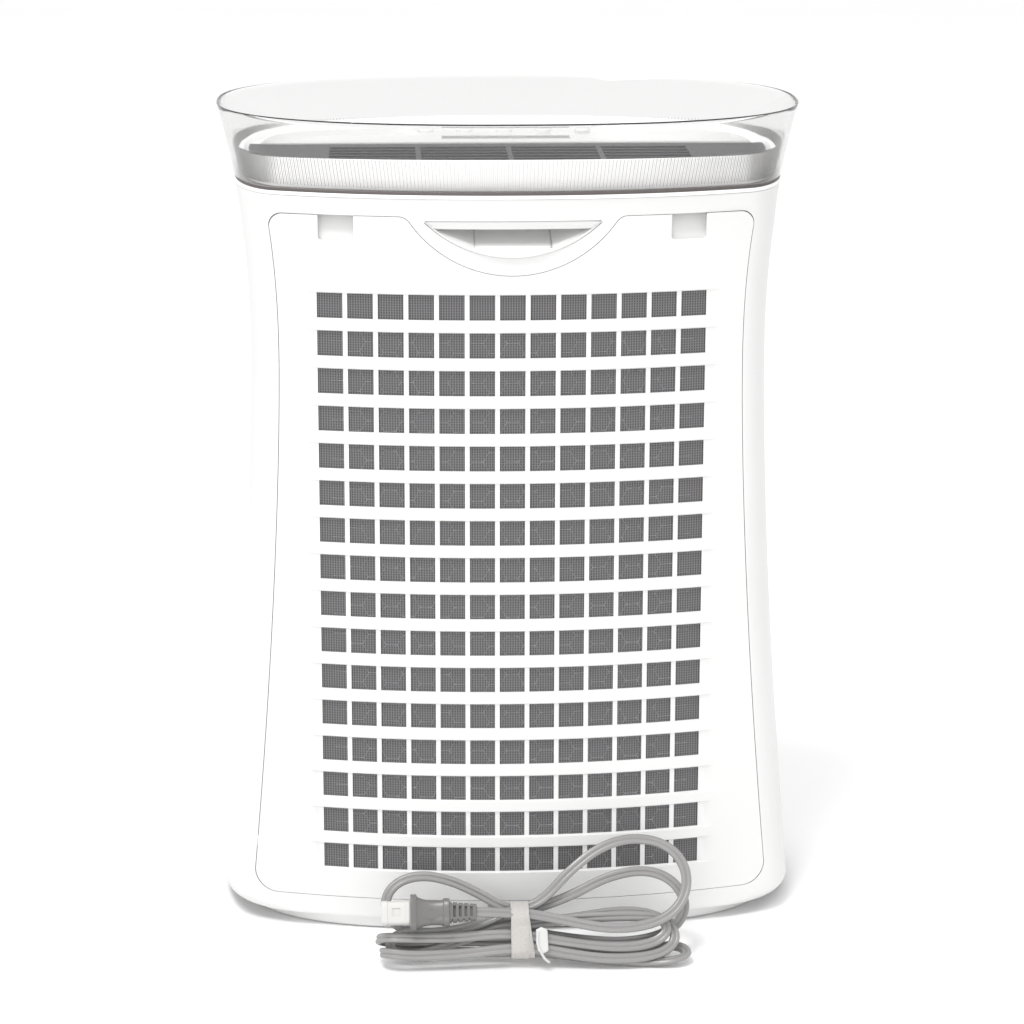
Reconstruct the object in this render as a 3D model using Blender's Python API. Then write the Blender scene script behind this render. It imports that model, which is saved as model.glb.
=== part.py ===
"""Room air purifier with a clear air-guide collar, a grilled rear panel and its filters, fan and cord.

The back faces +Y, the front faces -Y, and the feet stand on z = 0 under the middle of the body.
All lengths below are in millimetres; MM turns them into metres when a mesh is made.
"""
import math

import bmesh
import bpy
import numpy as np
from mathutils import Matrix, Vector

MM = 0.001
GAP = 0.3                      # clearance between pieces that touch

# Body: waisted, widest at the foot, flaring again to the rim of the collar
WAIST_Z = 410.0
WAIST_HALF_WIDTH = 180.5
WAIST_HALF_DEPTH = 94.5
FOOT_FLARE_WIDTH = 26.0
FOOT_FLARE_DEPTH = 12.0
FOOT_POWER = 1.57
RIM_FLARE_WIDTH = 20.5
RIM_FLARE_DEPTH = 31.3
RIM_POWER_WIDTH = 2.26
RIM_POWER_DEPTH = 3.2
BACK_BOW = 0.00084             # the back falls away by BACK_BOW * x * x
RIM_EXPONENT = 2.43            # superellipse exponent of the rim's plan
CORNER_WIDTH = 22.0            # from the rear panel's side seam to the body's side
FOOT_ROUND_Z = 20.0            # below this height the plan's corners round off
FOOT_ROUND_WIDTH = 34.0

PLINTH_BASE_Z = 1.0
BODY_BASE_Z = 9.7
SHELL_TOP_Z = 523.5
NECK_Z = 526.3
RIM_Z = 577.0
WALL = 2.6
PARTING_Y = -30.0
RING_POINTS = 44
SHELL_HEIGHTS = (9.7, 11.5, 14.5, 20.0, 90.0, 170.0, 250.0, 330.0, 410.0, 470.0, 523.5)

# Plinth: an oval foot inside the body's lower edge
PLINTH_HALF_WIDTH = 190.0
PLINTH_HALF_DEPTH = 100.0
PLINTH_EXPONENT = 2.8
PLINTH_FLARE = 2.5
PLINTH_WALL = 3.0
PLINTH_FLOOR = 3.5
FEET = (("front_left", -1, -1), ("front_right", 1, -1), ("rear_left", -1, 1), ("rear_right", 1, 1))

# Rear panel
PANEL_LOW_Z = 24.0
PANEL_TOP_Z = 511.0
PANEL_THICK = 3.0
PANEL_CORNER_LOW = 16.0
PANEL_CORNER_HIGH = 9.0
PANEL_GAP = 0.65               # seam round the panel, wide enough for it to tilt out
DIP_RADIUS = 84.4              # the panel's top edge dips round the handle on this arc
DIP_LOW_Z = 470.2
DIP_FILLET = 9.0
CELL_COLUMNS = 13
CELL_ROWS = 16
CELL_PITCH_X = 20.62
CELL_PITCH_Z = 26.28
CELL_WIDTH = 17.34
CELL_HEIGHT = 17.43
GRILLE_MIDDLE_Z = 251.1
POCKET_X = 119.0
POCKET_WIDTH = 24.0
POCKET_LOW_Z = 493.8
POCKET_FOOT_DEPTH = 2.5
POCKET_DEPTH = 11.0
SCOOP_SKIN = 1.4               # the scoop's walls start this far behind the panel's face

# Handle recess above the panel's dip
HANDLE_TOP_Z = 508.5
HANDLE_LOW_Z = 482.6
HANDLE_RADIUS = 85.7
HANDLE_DEPTH = 30.0

# Filters and fan
FILTER_HALF_WIDTH = 138.0
FILTER_LOW_Z = 40.0
FILTER_HIGH_Z = 462.0
FAN_Z = 235.0
FAN_RADIUS = 95.0
FAN_FRONT_Y = -36.0
FAN_BACK_Y = 14.0
BLADE_COUNT = 9
SCROLL_FRONT_Y = -44.0
SCROLL_BACK_Y = 19.0
SHAFT_RADIUS = 4.0

# Deck and controls
DECK_TOP_Z = 542.0
DECK_THICK = 2.5
SKIRT_INSET = 7.0
SKIRT_WALL = 2.2
SKIRT_TOP_Z = 550.5
GRILLE_INSET = 13.0
GRILLE_THICK = 2.4
CONTROL_EDGE_Y = -8.0
BUTTON_RADIUS = 5.5
BUTTON_PITCH = 28.0
BUTTON_Y = -62.0
BUTTON_NAMES = ("power", "speed", "mode", "timer", "lock")

# Cord
CORD_DIAMETER = 7.0
GLAND_X = 12.0
GLAND_Z = 16.5
GLAND_TIP_Y = 130.0
HANK_FOOT = (168.0, 5.3)       # y and z of the hank's leaning plane where t = 0
HANK_LEAN = math.radians(54.8)  # the plane's rise from the floor
HANK_HALF_THICK = 9.0
PLUG_T = 30.5                  # the plug's middle line, up the hank's plane
BLADES = (("upper", PLUG_T + 6.0), ("lower", PLUG_T - 6.0))


# ---------------------------------------------------------------- helpers

def clear_scene():
    for item in list(bpy.data.objects):
        bpy.data.objects.remove(item, do_unlink=True)


def material(name, colour, roughness, metallic=0.0):
    made = bpy.data.materials.get(name) or bpy.data.materials.new(name)
    made.use_nodes = True
    shader = made.node_tree.nodes["Principled BSDF"]
    shader.inputs["Base Color"].default_value = (*colour, 1.0)
    shader.inputs["Roughness"].default_value = roughness
    shader.inputs["Metallic"].default_value = metallic
    return made


def place(name, points, faces, finish, smooth_angle=30.0):
    """Make one object from millimetre points and faces, with its faces turned outward."""
    mesh = bpy.data.meshes.new(name)
    mesh.from_pydata([tuple(MM * c for c in p) for p in points], [], faces)
    work = bmesh.new()
    work.from_mesh(mesh)
    bmesh.ops.recalc_face_normals(work, faces=work.faces)
    work.to_mesh(mesh)
    work.free()
    mesh.shade_smooth()
    mesh.set_sharp_from_angle(angle=math.radians(smooth_angle))
    made = bpy.data.objects.new(name, mesh)
    bpy.context.collection.objects.link(made)
    if finish is not None:
        mesh.materials.append(finish)
    return made


def loft(rings, endless=False):
    """Points and faces of a skin over rings of equal length; its ends are capped unless it is endless."""
    count = len(rings[0])
    points = [p for ring in rings for p in ring]
    faces = []
    spans = len(rings) if endless else len(rings) - 1
    for k in range(spans):
        low = k * count
        high = ((k + 1) % len(rings)) * count
        for i in range(count):
            j = (i + 1) % count
            faces.append((low + i, low + j, high + j, high + i))
    if not endless:
        faces.append(tuple(reversed(range(count))))
        faces.append(tuple(range(points_before_last(rings), len(points))))
    return points, faces


def points_before_last(rings):
    return sum(len(ring) for ring in rings[:-1])


def prism(outline, low_y, high_y):
    """Points and faces of an (x, z) outline drawn out along Y."""
    return loft([[(x, y, z) for x, z in outline] for y in (low_y, high_y)])


def block(low, high):
    outline = [(low[0], low[2]), (high[0], low[2]), (high[0], high[2]), (low[0], high[2])]
    return prism(outline, low[1], high[1])


def turned(profile, segments, centre=(0.0, 0.0, 0.0), axis="Y", solid=False):
    """A closed (radius, height) profile turned about an axis; solid profiles start and end on it."""
    rings = []
    for k in range(segments):
        angle = 2.0 * math.pi * k / segments
        c, s = math.cos(angle), math.sin(angle)
        ring = []
        for r, h in profile:
            p = (r * c, h, r * s) if axis == "Y" else (r * c, r * s, h)
            ring.append(tuple(a + b for a, b in zip(p, centre)))
        rings.append(ring)
    if not solid:
        return loft(rings, endless=True)
    first, last = rings[0][0], rings[0][-1]
    inner = [ring[1:-1] for ring in rings]
    count = len(inner[0])
    points = [p for ring in inner for p in ring] + [first, last]
    faces = []
    for k in range(segments):
        a = k * count
        b = ((k + 1) % segments) * count
        for i in range(count - 1):
            faces.append((a + i, a + i + 1, b + i + 1, b + i))
        faces.append((len(points) - 2, a, b))
        faces.append((len(points) - 1, b + count - 1, a + count - 1))
    return points, faces


def tool(name, shape):
    """A cutter or guide: kept in the scene as a wire shape, and no part of the object."""
    made = place(name + "_guide", *shape, None)
    made.hide_render = True
    made.display_type = "WIRE"
    return made


def combine(target, operation, *guides):
    for guide in guides:
        step = target.modifiers.new(guide.name, "BOOLEAN")
        step.operation = operation
        step.object = guide
        step.solver = "EXACT"
    return target


def cut(target, *guides):
    return combine(target, "DIFFERENCE", *guides)


def keep_inside(target, *guides):
    return combine(target, "INTERSECT", *guides)


def add(target, *guides):
    return combine(target, "UNION", *guides)


def arc(centre, radius, start, end, steps):
    """Points on a circle in a plane, from one angle to another, in degrees."""
    angles = [math.radians(start + (end - start) * k / steps) for k in range(steps + 1)]
    return [(centre[0] + radius * math.cos(a), centre[1] + radius * math.sin(a)) for a in angles]


# ---------------------------------------------------------------- the body's surface

def half_width(z):
    if z < WAIST_Z:
        return WAIST_HALF_WIDTH + FOOT_FLARE_WIDTH * ((WAIST_Z - z) / 400.0) ** FOOT_POWER
    rise = (z - WAIST_Z) / (RIM_Z - WAIST_Z)
    return WAIST_HALF_WIDTH + RIM_FLARE_WIDTH * rise ** RIM_POWER_WIDTH


def half_depth(z):
    if z < WAIST_Z:
        return WAIST_HALF_DEPTH + FOOT_FLARE_DEPTH * ((WAIST_Z - z) / 400.0) ** FOOT_POWER
    rise = (z - WAIST_Z) / (RIM_Z - WAIST_Z)
    return WAIST_HALF_DEPTH + RIM_FLARE_DEPTH * rise ** RIM_POWER_DEPTH


def back_y(x, z):
    """The back surface between the rear panel's side seams."""
    return half_depth(z) - BACK_BOW * x * x


def corner_width(z):
    """The width of the plan's corner, which grows towards the foot."""
    share = min(max((FOOT_ROUND_Z - z) / (FOOT_ROUND_Z - BODY_BASE_Z), 0.0), 1.0)
    return CORNER_WIDTH + FOOT_ROUND_WIDTH * share * share


def body_quarter(width, depth, corner_run):
    """A quarter of the body's plan, from the side to the back: a corner curve and then a flat arc."""
    seam_x = width - corner_run
    seam_y = depth - BACK_BOW * seam_x * seam_x
    knee = Vector((width, seam_y - 2.0 * BACK_BOW * seam_x * corner_run))
    side, seam = Vector((width, 0.0)), Vector((seam_x, seam_y))
    corner = []
    for k in range(25):
        t = k / 24.0
        corner.append((1 - t) ** 2 * side + 2 * t * (1 - t) * knee + t * t * seam)
    flat = [Vector((x, depth - BACK_BOW * x * x)) for x in np.linspace(seam_x, 0.0, 25)[1:]]
    return np.array([tuple(p) for p in corner + flat])


def plan_ring(z, inset=0.0, count=RING_POINTS):
    """The body's outline at a height, moved inward by inset, as (x, y, z) points."""
    width, depth = half_width(z) - inset, half_depth(z) - inset
    quarter = body_quarter(width, depth, corner_width(z))
    quarter_angle = np.arctan2(quarter[:, 1], quarter[:, 0])
    quarter_radius = np.hypot(quarter[:, 0], quarter[:, 1])
    share = min(max((z - 495.0) / (RIM_Z - 495.0), 0.0), 1.0)
    ring = []
    for k in range(count):
        turn = 2.0 * math.pi * (k + 0.5) / count
        angle = math.atan2(depth * math.sin(turn), width * math.cos(turn))
        folded = math.atan2(abs(math.sin(angle)), abs(math.cos(angle)))
        body = np.interp(folded, quarter_angle, quarter_radius)
        c, s = abs(math.cos(angle)) / width, abs(math.sin(angle)) / depth
        oval = (c ** RIM_EXPONENT + s ** RIM_EXPONENT) ** (-1.0 / RIM_EXPONENT)
        radius = (1.0 - share) * body + share * oval
        ring.append((radius * math.cos(angle), radius * math.sin(angle), z))
    return ring


def body_tube(heights, outer=0.0, inner=WALL):
    """An open-ended shell that follows the body's surface."""
    rings = [plan_ring(z, outer) for z in heights] + [plan_ring(z, inner) for z in reversed(heights)]
    return loft(rings, endless=True)


def half_space(keep_back):
    """A large block on one side of the parting plane between the two shells."""
    if keep_back:
        return block((-260, PARTING_Y + GAP / 2, -20), (260, 200, 620))
    return block((-260, -200, -20), (260, PARTING_Y - GAP / 2, 620))


# ---------------------------------------------------------------- outlines on the back

def panel_outline(grow=0.0):
    """The rear panel's outline, (x, z), anticlockwise from its lower left corner."""
    low, high = PANEL_LOW_Z - grow, PANEL_TOP_Z + grow
    foot, head = PANEL_CORNER_LOW, PANEL_CORNER_HIGH
    side = []
    for z in np.linspace(low + foot, high - head, 12):
        side.append((half_width(z) - CORNER_WIDTH + grow, z))
    right = arc((side[0][0] - foot, low + foot), foot, -90, 0, 5)[:-1] + side
    right += arc((side[-1][0] - head, high - head), head, 0, 90, 5)[1:]
    centre_z = DIP_LOW_Z + DIP_RADIUS
    radius, fillet = DIP_RADIUS - grow, DIP_FILLET + grow
    fillet_z = high - fillet
    fillet_x = math.sqrt((radius + fillet) ** 2 - (centre_z - fillet_z) ** 2)
    turn = math.degrees(math.acos((centre_z - fillet_z) / (radius + fillet)))
    dip = arc((fillet_x, fillet_z), fillet, 90, 90 + turn, 5)
    dip += arc((0.0, centre_z), radius, turn - 90, -90, 12)[1:]
    half = right + dip
    return half + [(-x, z) for x, z in reversed(half) if x > 0.01]


def handle_outline(shrink=0.0):
    """The handle recess: a flat top and a low curved floor."""
    radius = HANDLE_RADIUS - shrink
    top = HANDLE_TOP_Z - shrink
    centre_z = HANDLE_LOW_Z + HANDLE_RADIUS
    half_turn = math.degrees(math.acos((centre_z - top + 1.5) / radius))
    floor = arc((0.0, centre_z), radius, -90 - half_turn, -90 + half_turn, 16)
    return floor + [(floor[-1][0] - 1.0, top), (floor[0][0] + 1.0, top)]


# ---------------------------------------------------------------- shells

def make_shells():
    white = material("white_housing", (0.84, 0.84, 0.83), 0.38)
    rear = place("rear_housing", *body_tube(SHELL_HEIGHTS), white)
    keep_inside(rear, tool("rear_half", half_space(True)))
    cut(rear, tool("panel_opening", prism(panel_outline(PANEL_GAP), 40, 160)))
    gland_hole = turned([(0, 80), (5.4, 80), (5.4, 130), (0, 130)], 16, (GLAND_X, 0, GLAND_Z), solid=True)
    cut(rear, tool("handle_hole", prism(handle_outline(), 40, 160)), tool("gland_hole", gland_hole))

    front = place("front_cover", *body_tube(SHELL_HEIGHTS), white)
    keep_inside(front, tool("front_half", half_space(False)))
    window = block((-30, -140, 458), (30, -60, 464))
    sensor = block((140, -75, 330), (230, -45, 372))
    cut(front, tool("window_hole", window), tool("sensor_hole", sensor))

    lens = place("indicator_lens", *body_tube((440, 460, 480), 0.0, 2.2),
                 material("smoked_lens", (0.05, 0.05, 0.055), 0.08))
    keep_inside(lens, tool("window_fill", block((-29.7, -140, 458.3), (29.7, -60, 463.7))))
    cover = place("sensor_cover", *body_tube((320, 351, 382), 0.0, 2.2), white)
    keep_inside(cover, tool("sensor_fill", block((140, -74.7, 330.3), (230, -45.3, 371.7))))
    slots = [tool("sensor_slot_%d" % k, block((140, -70, 337 + 7.0 * k), (230, -50, 340 + 7.0 * k)))
             for k in range(5)]
    cut(cover, *slots)


def plinth_ring(grow, z):
    """The plinth's oval at a height, moved outward by grow."""
    ring = []
    for k in range(RING_POINTS):
        turn = 2.0 * math.pi * (k + 0.5) / RING_POINTS
        c, s = math.cos(turn), math.sin(turn)
        x = math.copysign(abs(c) ** (2.0 / PLINTH_EXPONENT), c) * (PLINTH_HALF_WIDTH + grow)
        y = math.copysign(abs(s) ** (2.0 / PLINTH_EXPONENT), s) * (PLINTH_HALF_DEPTH + grow)
        ring.append((x, y, z))
    return ring


def make_base():
    grey = material("white_base", (0.82, 0.82, 0.81), 0.42)
    rim_top = BODY_BASE_Z - GAP
    rings = [plinth_ring(0.0, PLINTH_BASE_Z), plinth_ring(1.0, PLINTH_BASE_Z + 1.5)]
    rings += [plinth_ring(PLINTH_FLARE, rim_top), plinth_ring(-PLINTH_WALL, rim_top)]
    rings += [plinth_ring(-PLINTH_WALL, PLINTH_BASE_Z + PLINTH_FLOOR)]
    base = place("base_plinth", *loft(rings), grey)
    rubber = material("foot_rubber", (0.10, 0.10, 0.10), 0.75)
    for name, sx, sy in FEET:
        centre = (150.0 * sx, 62.0 * sy, 0.0)
        pocket = [(0, -2.0), (11.3, -2.0), (11.3, 3.0), (0, 3.0)]
        cut(base, tool("pocket_" + name, turned(pocket, 16, centre, "Z", solid=True)))
        pad = [(0, 0.0), (10.0, 0.0), (11.0, 0.8), (11.0, 2.7), (0, 2.7)]
        place("foot_" + name, *turned(pad, 16, centre, "Z", solid=True), rubber)


# ---------------------------------------------------------------- rear panel

def curved_plate(half_columns, zs, front, back):
    """A plate whose faces follow the back surface, set in by front and back; its seams miss the cells."""
    half = CELL_PITCH_X * half_columns
    xs = np.linspace(-half, half, int(2 * half_columns) + 1)
    rings = []
    for z in zs:
        outside = [(x, back_y(x, z) - front, z) for x in xs]
        inside = [(x, back_y(x, z) - back, z) for x in reversed(xs)]
        rings.append(outside + inside)
    return loft(rings)


def grille_cells():
    """All cells of the grille as one set of separate boxes."""
    points, faces = [], []
    for row in range(CELL_ROWS):
        for column in range(CELL_COLUMNS):
            x = (column - (CELL_COLUMNS - 1) / 2.0) * CELL_PITCH_X
            z = GRILLE_MIDDLE_Z + (row - (CELL_ROWS - 1) / 2.0) * CELL_PITCH_Z
            low = (x - CELL_WIDTH / 2, 60, z - CELL_HEIGHT / 2)
            high = (x + CELL_WIDTH / 2, 130, z + CELL_HEIGHT / 2)
            more, sides = block(low, high)
            faces += [tuple(i + len(points) for i in face) for face in sides]
            points += more
    return points, faces


def pocket_block(x, grow, top):
    """The scoop behind a finger pocket: shallow at its foot, full depth at the panel's top edge."""
    half = POCKET_WIDTH / 2 + grow
    low = POCKET_LOW_Z - grow
    rings = []
    for side in (x - half, x + half):
        front = 120.0 if grow == 0.0 else back_y(side, low) - SCOOP_SKIN
        foot = back_y(side, low) - POCKET_FOOT_DEPTH - grow
        head = back_y(side, top) - POCKET_DEPTH - 1.6 * grow
        rings.append([(side, front, low), (side, foot, low), (side, head, top), (side, front, top)])
    return loft(rings)


def make_rear_panel():
    white = material("white_panel", (0.85, 0.85, 0.84), 0.36)
    bars = [GRILLE_MIDDLE_Z + CELL_PITCH_Z * k for k in (-8, -4, 0, 4, 8)]
    panel = place("rear_panel", *curved_plate(9.5, [15.0] + bars + [488.0, 520.0], 0.0, PANEL_THICK), white)
    keep_inside(panel, tool("panel_shape", prism(panel_outline(), 20, 160)))
    for name, side in (("left", 1), ("right", -1)):
        add(panel, tool("scoop_wall_" + name, pocket_block(POCKET_X * side, 1.8, PANEL_TOP_Z - 1.5)))
    for name, side in (("left", 1), ("right", -1)):
        cut(panel, tool("scoop_" + name, pocket_block(POCKET_X * side, 0.0, PANEL_TOP_Z + 4)))
    cut(panel, tool("grille_cells", grille_cells()))
    mesh_grey = material("prefilter_mesh", (0.17, 0.165, 0.17), 0.85)
    sheet = curved_plate(6.5, bars, PANEL_THICK + 0.3, PANEL_THICK + 1.1)
    place("prefilter_mesh", *sheet, mesh_grey)


# ---------------------------------------------------------------- filters

def frame_block(name, finish, half, low_z, high_z, low_y, high_y, border):
    made = place(name, *block((-half, low_y, low_z), (half, high_y, high_z)), finish)
    hole = block((-half + border, low_y - 5, low_z + border), (half - border, high_y + 5, high_z - border))
    return cut(made, tool(name + "_hole", hole))


def make_filters():
    tray_white = material("tray_plastic", (0.75, 0.75, 0.74), 0.5)
    half, low, high = FILTER_HALF_WIDTH, FILTER_LOW_Z, FILTER_HIGH_Z
    tray = place("filter_tray", *block((-half - 4, 24, low - 4), (half + 4, 74, high + 4)), tray_white)
    flange = tool("tray_flange", block((-171, 24, 18), (171, 27, 474)))
    add(tray, flange)
    room = tool("tray_room", block((-half - 1, 27, low - 1), (half + 1, 90, high + 1)))
    inlet = turned([(0, 10), (92, 10), (92, 40), (0, 40)], 28, (0, 0, FAN_Z), solid=True)
    cut(tray, room, tool("tray_inlet", inlet))
    for k, (sx, z) in enumerate(((-1, 60), (1, 60), (-1, 440), (1, 440))):
        spot = (155.0 * sx, 0.0, z)
        hole = turned([(0, 20), (2.2, 20), (2.2, 32), (0, 32)], 12, spot, solid=True)
        cut(tray, tool("tray_screw_hole_%d" % k, hole))
        screw = [(0, 14.0), (1.8, 15.0), (1.8, 27.3), (3.8, 27.3), (3.6, 29.0), (0, 29.6)]
        place("tray_screw_%d" % (k + 1), *turned(screw, 12, spot, solid=True),
              material("zinc_steel", (0.60, 0.60, 0.58), 0.35, 1.0))

    black = material("carbon_frame", (0.12, 0.12, 0.12), 0.7)
    frame_block("carbon_frame", black, half, low, high, 62, 72, 8.0)
    media = block((-half + 8.3, 63.5, low + 8.3), (half - 8.3, 70.5, high - 8.3))
    place("carbon_media", *media, material("carbon_media", (0.09, 0.09, 0.09), 0.9))
    frame_block("hepa_frame", material("hepa_card", (0.80, 0.80, 0.78), 0.75), half, low, high, 28, 61, 7.0)
    pleats(half - 7.3, low + 7.3, high - 7.3)


def pleats(half, low, high):
    """Folded filter paper: a zigzag drawn out along Z."""
    folds = 44
    thick = 0.9
    xs = np.linspace(-half, half, folds + 1)
    front = [(x, 57.0 if k % 2 else 32.0) for k, x in enumerate(xs)]
    slope = thick * math.hypot(25.0, xs[1] - xs[0]) / (xs[1] - xs[0])
    back = [(x, y - slope) for x, y in reversed(front)]
    outline = front + back
    rings = [[(x, y + slope / 2, z) for x, y in outline] for z in (low, high)]
    place("hepa_pleats", *loft(rings), material("hepa_paper", (0.86, 0.86, 0.84), 0.85))


# ---------------------------------------------------------------- fan

def make_scroll():
    grey = material("duct_plastic", (0.30, 0.30, 0.31), 0.55)

    def outline(inset):
        top = 500.0 if inset == 0.0 else 520.0
        curve = []
        for k in range(29):
            angle = math.radians(20.0 - 200.0 * k / 28.0)
            radius = 108.0 + 54.0 * (k / 28.0) - inset
            curve.append((radius * math.cos(angle), FAN_Z + radius * math.sin(angle)))
        left = -162.0 + inset
        throat = (112.0 - inset, FAN_Z + 70.0)
        shape = [(134.0 - inset, top), throat] + curve
        return shape + [(left, FAN_Z + 60.0), (-134.0 + inset, 470.0), (-134.0 + inset, top)]

    shell = place("scroll_housing", *prism(outline(0.0), SCROLL_FRONT_Y, SCROLL_BACK_Y), grey)
    room = prism(outline(2.5), SCROLL_FRONT_Y + 2.5, SCROLL_BACK_Y - 2.5)
    mouth = turned([(0, 10), (84, 10), (84, 30), (0, 30)], 28, (0, 0, FAN_Z), solid=True)
    nose = turned([(0, -60), (10, -60), (10, -30), (0, -30)], 20, (0, 0, FAN_Z), solid=True)
    cut(shell, tool("scroll_room", room), tool("scroll_mouth", mouth), tool("scroll_nose", nose))
    bell = [(83.0, 19.5), (91.5, 19.5), (91.5, 26.5), (90.0, 26.5), (85.5, 23.5), (83.0, 21.0)]
    place("inlet_ring", *turned(bell, 28, (0, 0, FAN_Z)), grey)


def blade_shape(index):
    """One backward-curved blade between the hub plate and the shroud ring."""
    turn = 2.0 * math.pi * index / BLADE_COUNT
    middle = []
    for k in range(5):
        t = k / 4.0
        radius = 50.0 + (FAN_RADIUS - 51.0) * t
        angle = turn - 0.62 * t ** 1.2
        middle.append((radius, angle))
    sides = []
    for offset in (0.8, -0.8):
        line = []
        for r, a in middle:
            c, s = math.cos(a), math.sin(a)
            line.append((r * c - offset * s, r * s + offset * c))
        sides.append(line if offset > 0 else line[::-1])
    outline = [(x, z + FAN_Z) for x, z in sides[0] + sides[1]]
    return prism(outline, FAN_FRONT_Y + 1.5, FAN_BACK_Y - 1.0)


def make_fan():
    plastic = material("fan_plastic", (0.80, 0.80, 0.79), 0.5)
    front, back = FAN_FRONT_Y, FAN_BACK_Y
    bore = SHAFT_RADIUS + 0.25
    hub = [(bore, front), (FAN_RADIUS, front), (FAN_RADIUS, front + 2.2), (46.0, front + 2.2)]
    hub += [(20.0, front + 24.0), (14.0, front + 27.0), (bore, front + 27.0)]
    wheel = place("impeller", *turned(hub, 28, (0, 0, FAN_Z)), plastic)
    blades = [tool("blade_%02d" % k, blade_shape(k)) for k in range(BLADE_COUNT)]
    shroud = [(80.0, back), (80.0, back - 2.0), (FAN_RADIUS - 0.6, back - 7.0), (FAN_RADIUS, back - 7.0)]
    shroud += [(FAN_RADIUS, back - 5.0), (81.0, back)]
    add(wheel, *blades, tool("shroud", turned(shroud, 28, (0, 0, FAN_Z))))

    steel = material("shaft_steel", (0.62, 0.62, 0.62), 0.25, 1.0)
    rod = [(0, -84.0), (SHAFT_RADIUS, -84.0), (SHAFT_RADIUS, 4.0), (0, 4.0)]
    place("motor_shaft", *turned(rod, 16, (0, 0, FAN_Z), solid=True), steel)
    inside = SHAFT_RADIUS + GAP
    nut = [(inside, front + 27.4), (9.0, front + 27.4), (9.0, front + 33.0), (inside, front + 36.0)]
    place("shaft_nut", *turned(nut, 16, (0, 0, FAN_Z)), material("nut_plastic", (0.75, 0.2, 0.15), 0.5))

    can = [(11.4, -50.0), (38.0, -50.0), (45.0, -54.0), (45.0, -74.0), (38.0, -80.0), (11.4, -80.0)]
    can_steel = material("motor_can", (0.50, 0.50, 0.50), 0.4, 1.0)
    place("motor_body", *turned(can, 24, (0, 0, FAN_Z)), can_steel)
    bearing = material("bearing_steel", (0.55, 0.55, 0.56), 0.3, 1.0)
    for name, low in (("bearing_rear", -58.0), ("bearing_front", -79.0)):
        race = [(inside, low), (11.0, low), (11.0, low + 7.0), (inside, low + 7.0)]
        place(name, *turned(race, 14, (0, 0, FAN_Z)), bearing)

    plate = [(30.0, -47.4), (60.0, -47.4), (60.0, -49.5), (30.0, -49.5)]
    mount_steel = material("mount_steel", (0.5, 0.5, 0.5), 0.45, 1.0)
    mount = place("motor_mount", *turned(plate, 30, (0, 0, FAN_Z)), mount_steel)
    for k in range(3):
        a = math.radians(84.4 + 120.0 * k)
        spot = (53.0 * math.cos(a), 0.0, FAN_Z + 53.0 * math.sin(a))
        hole = turned([(0, -55.0), (2.2, -55.0), (2.2, -40.0), (0, -40.0)], 12, spot, solid=True)
        cut(mount, tool("mount_hole_%d" % k, hole))
        pin = [(0, -52.0), (3.6, -51.6), (3.8, -49.8), (1.8, -49.8), (1.8, -44.4), (0, -44.4)]
        place("motor_screw_%d" % (k + 1), *turned(pin, 12, spot, solid=True),
              material("zinc_steel", (0.60, 0.60, 0.58), 0.35, 1.0))


# ---------------------------------------------------------------- deck, collar and controls

def flat_ring(shape_z, inset, z, count=RING_POINTS):
    return [(x, y, z) for x, y, _ in plan_ring(shape_z, inset, count)]


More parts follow.
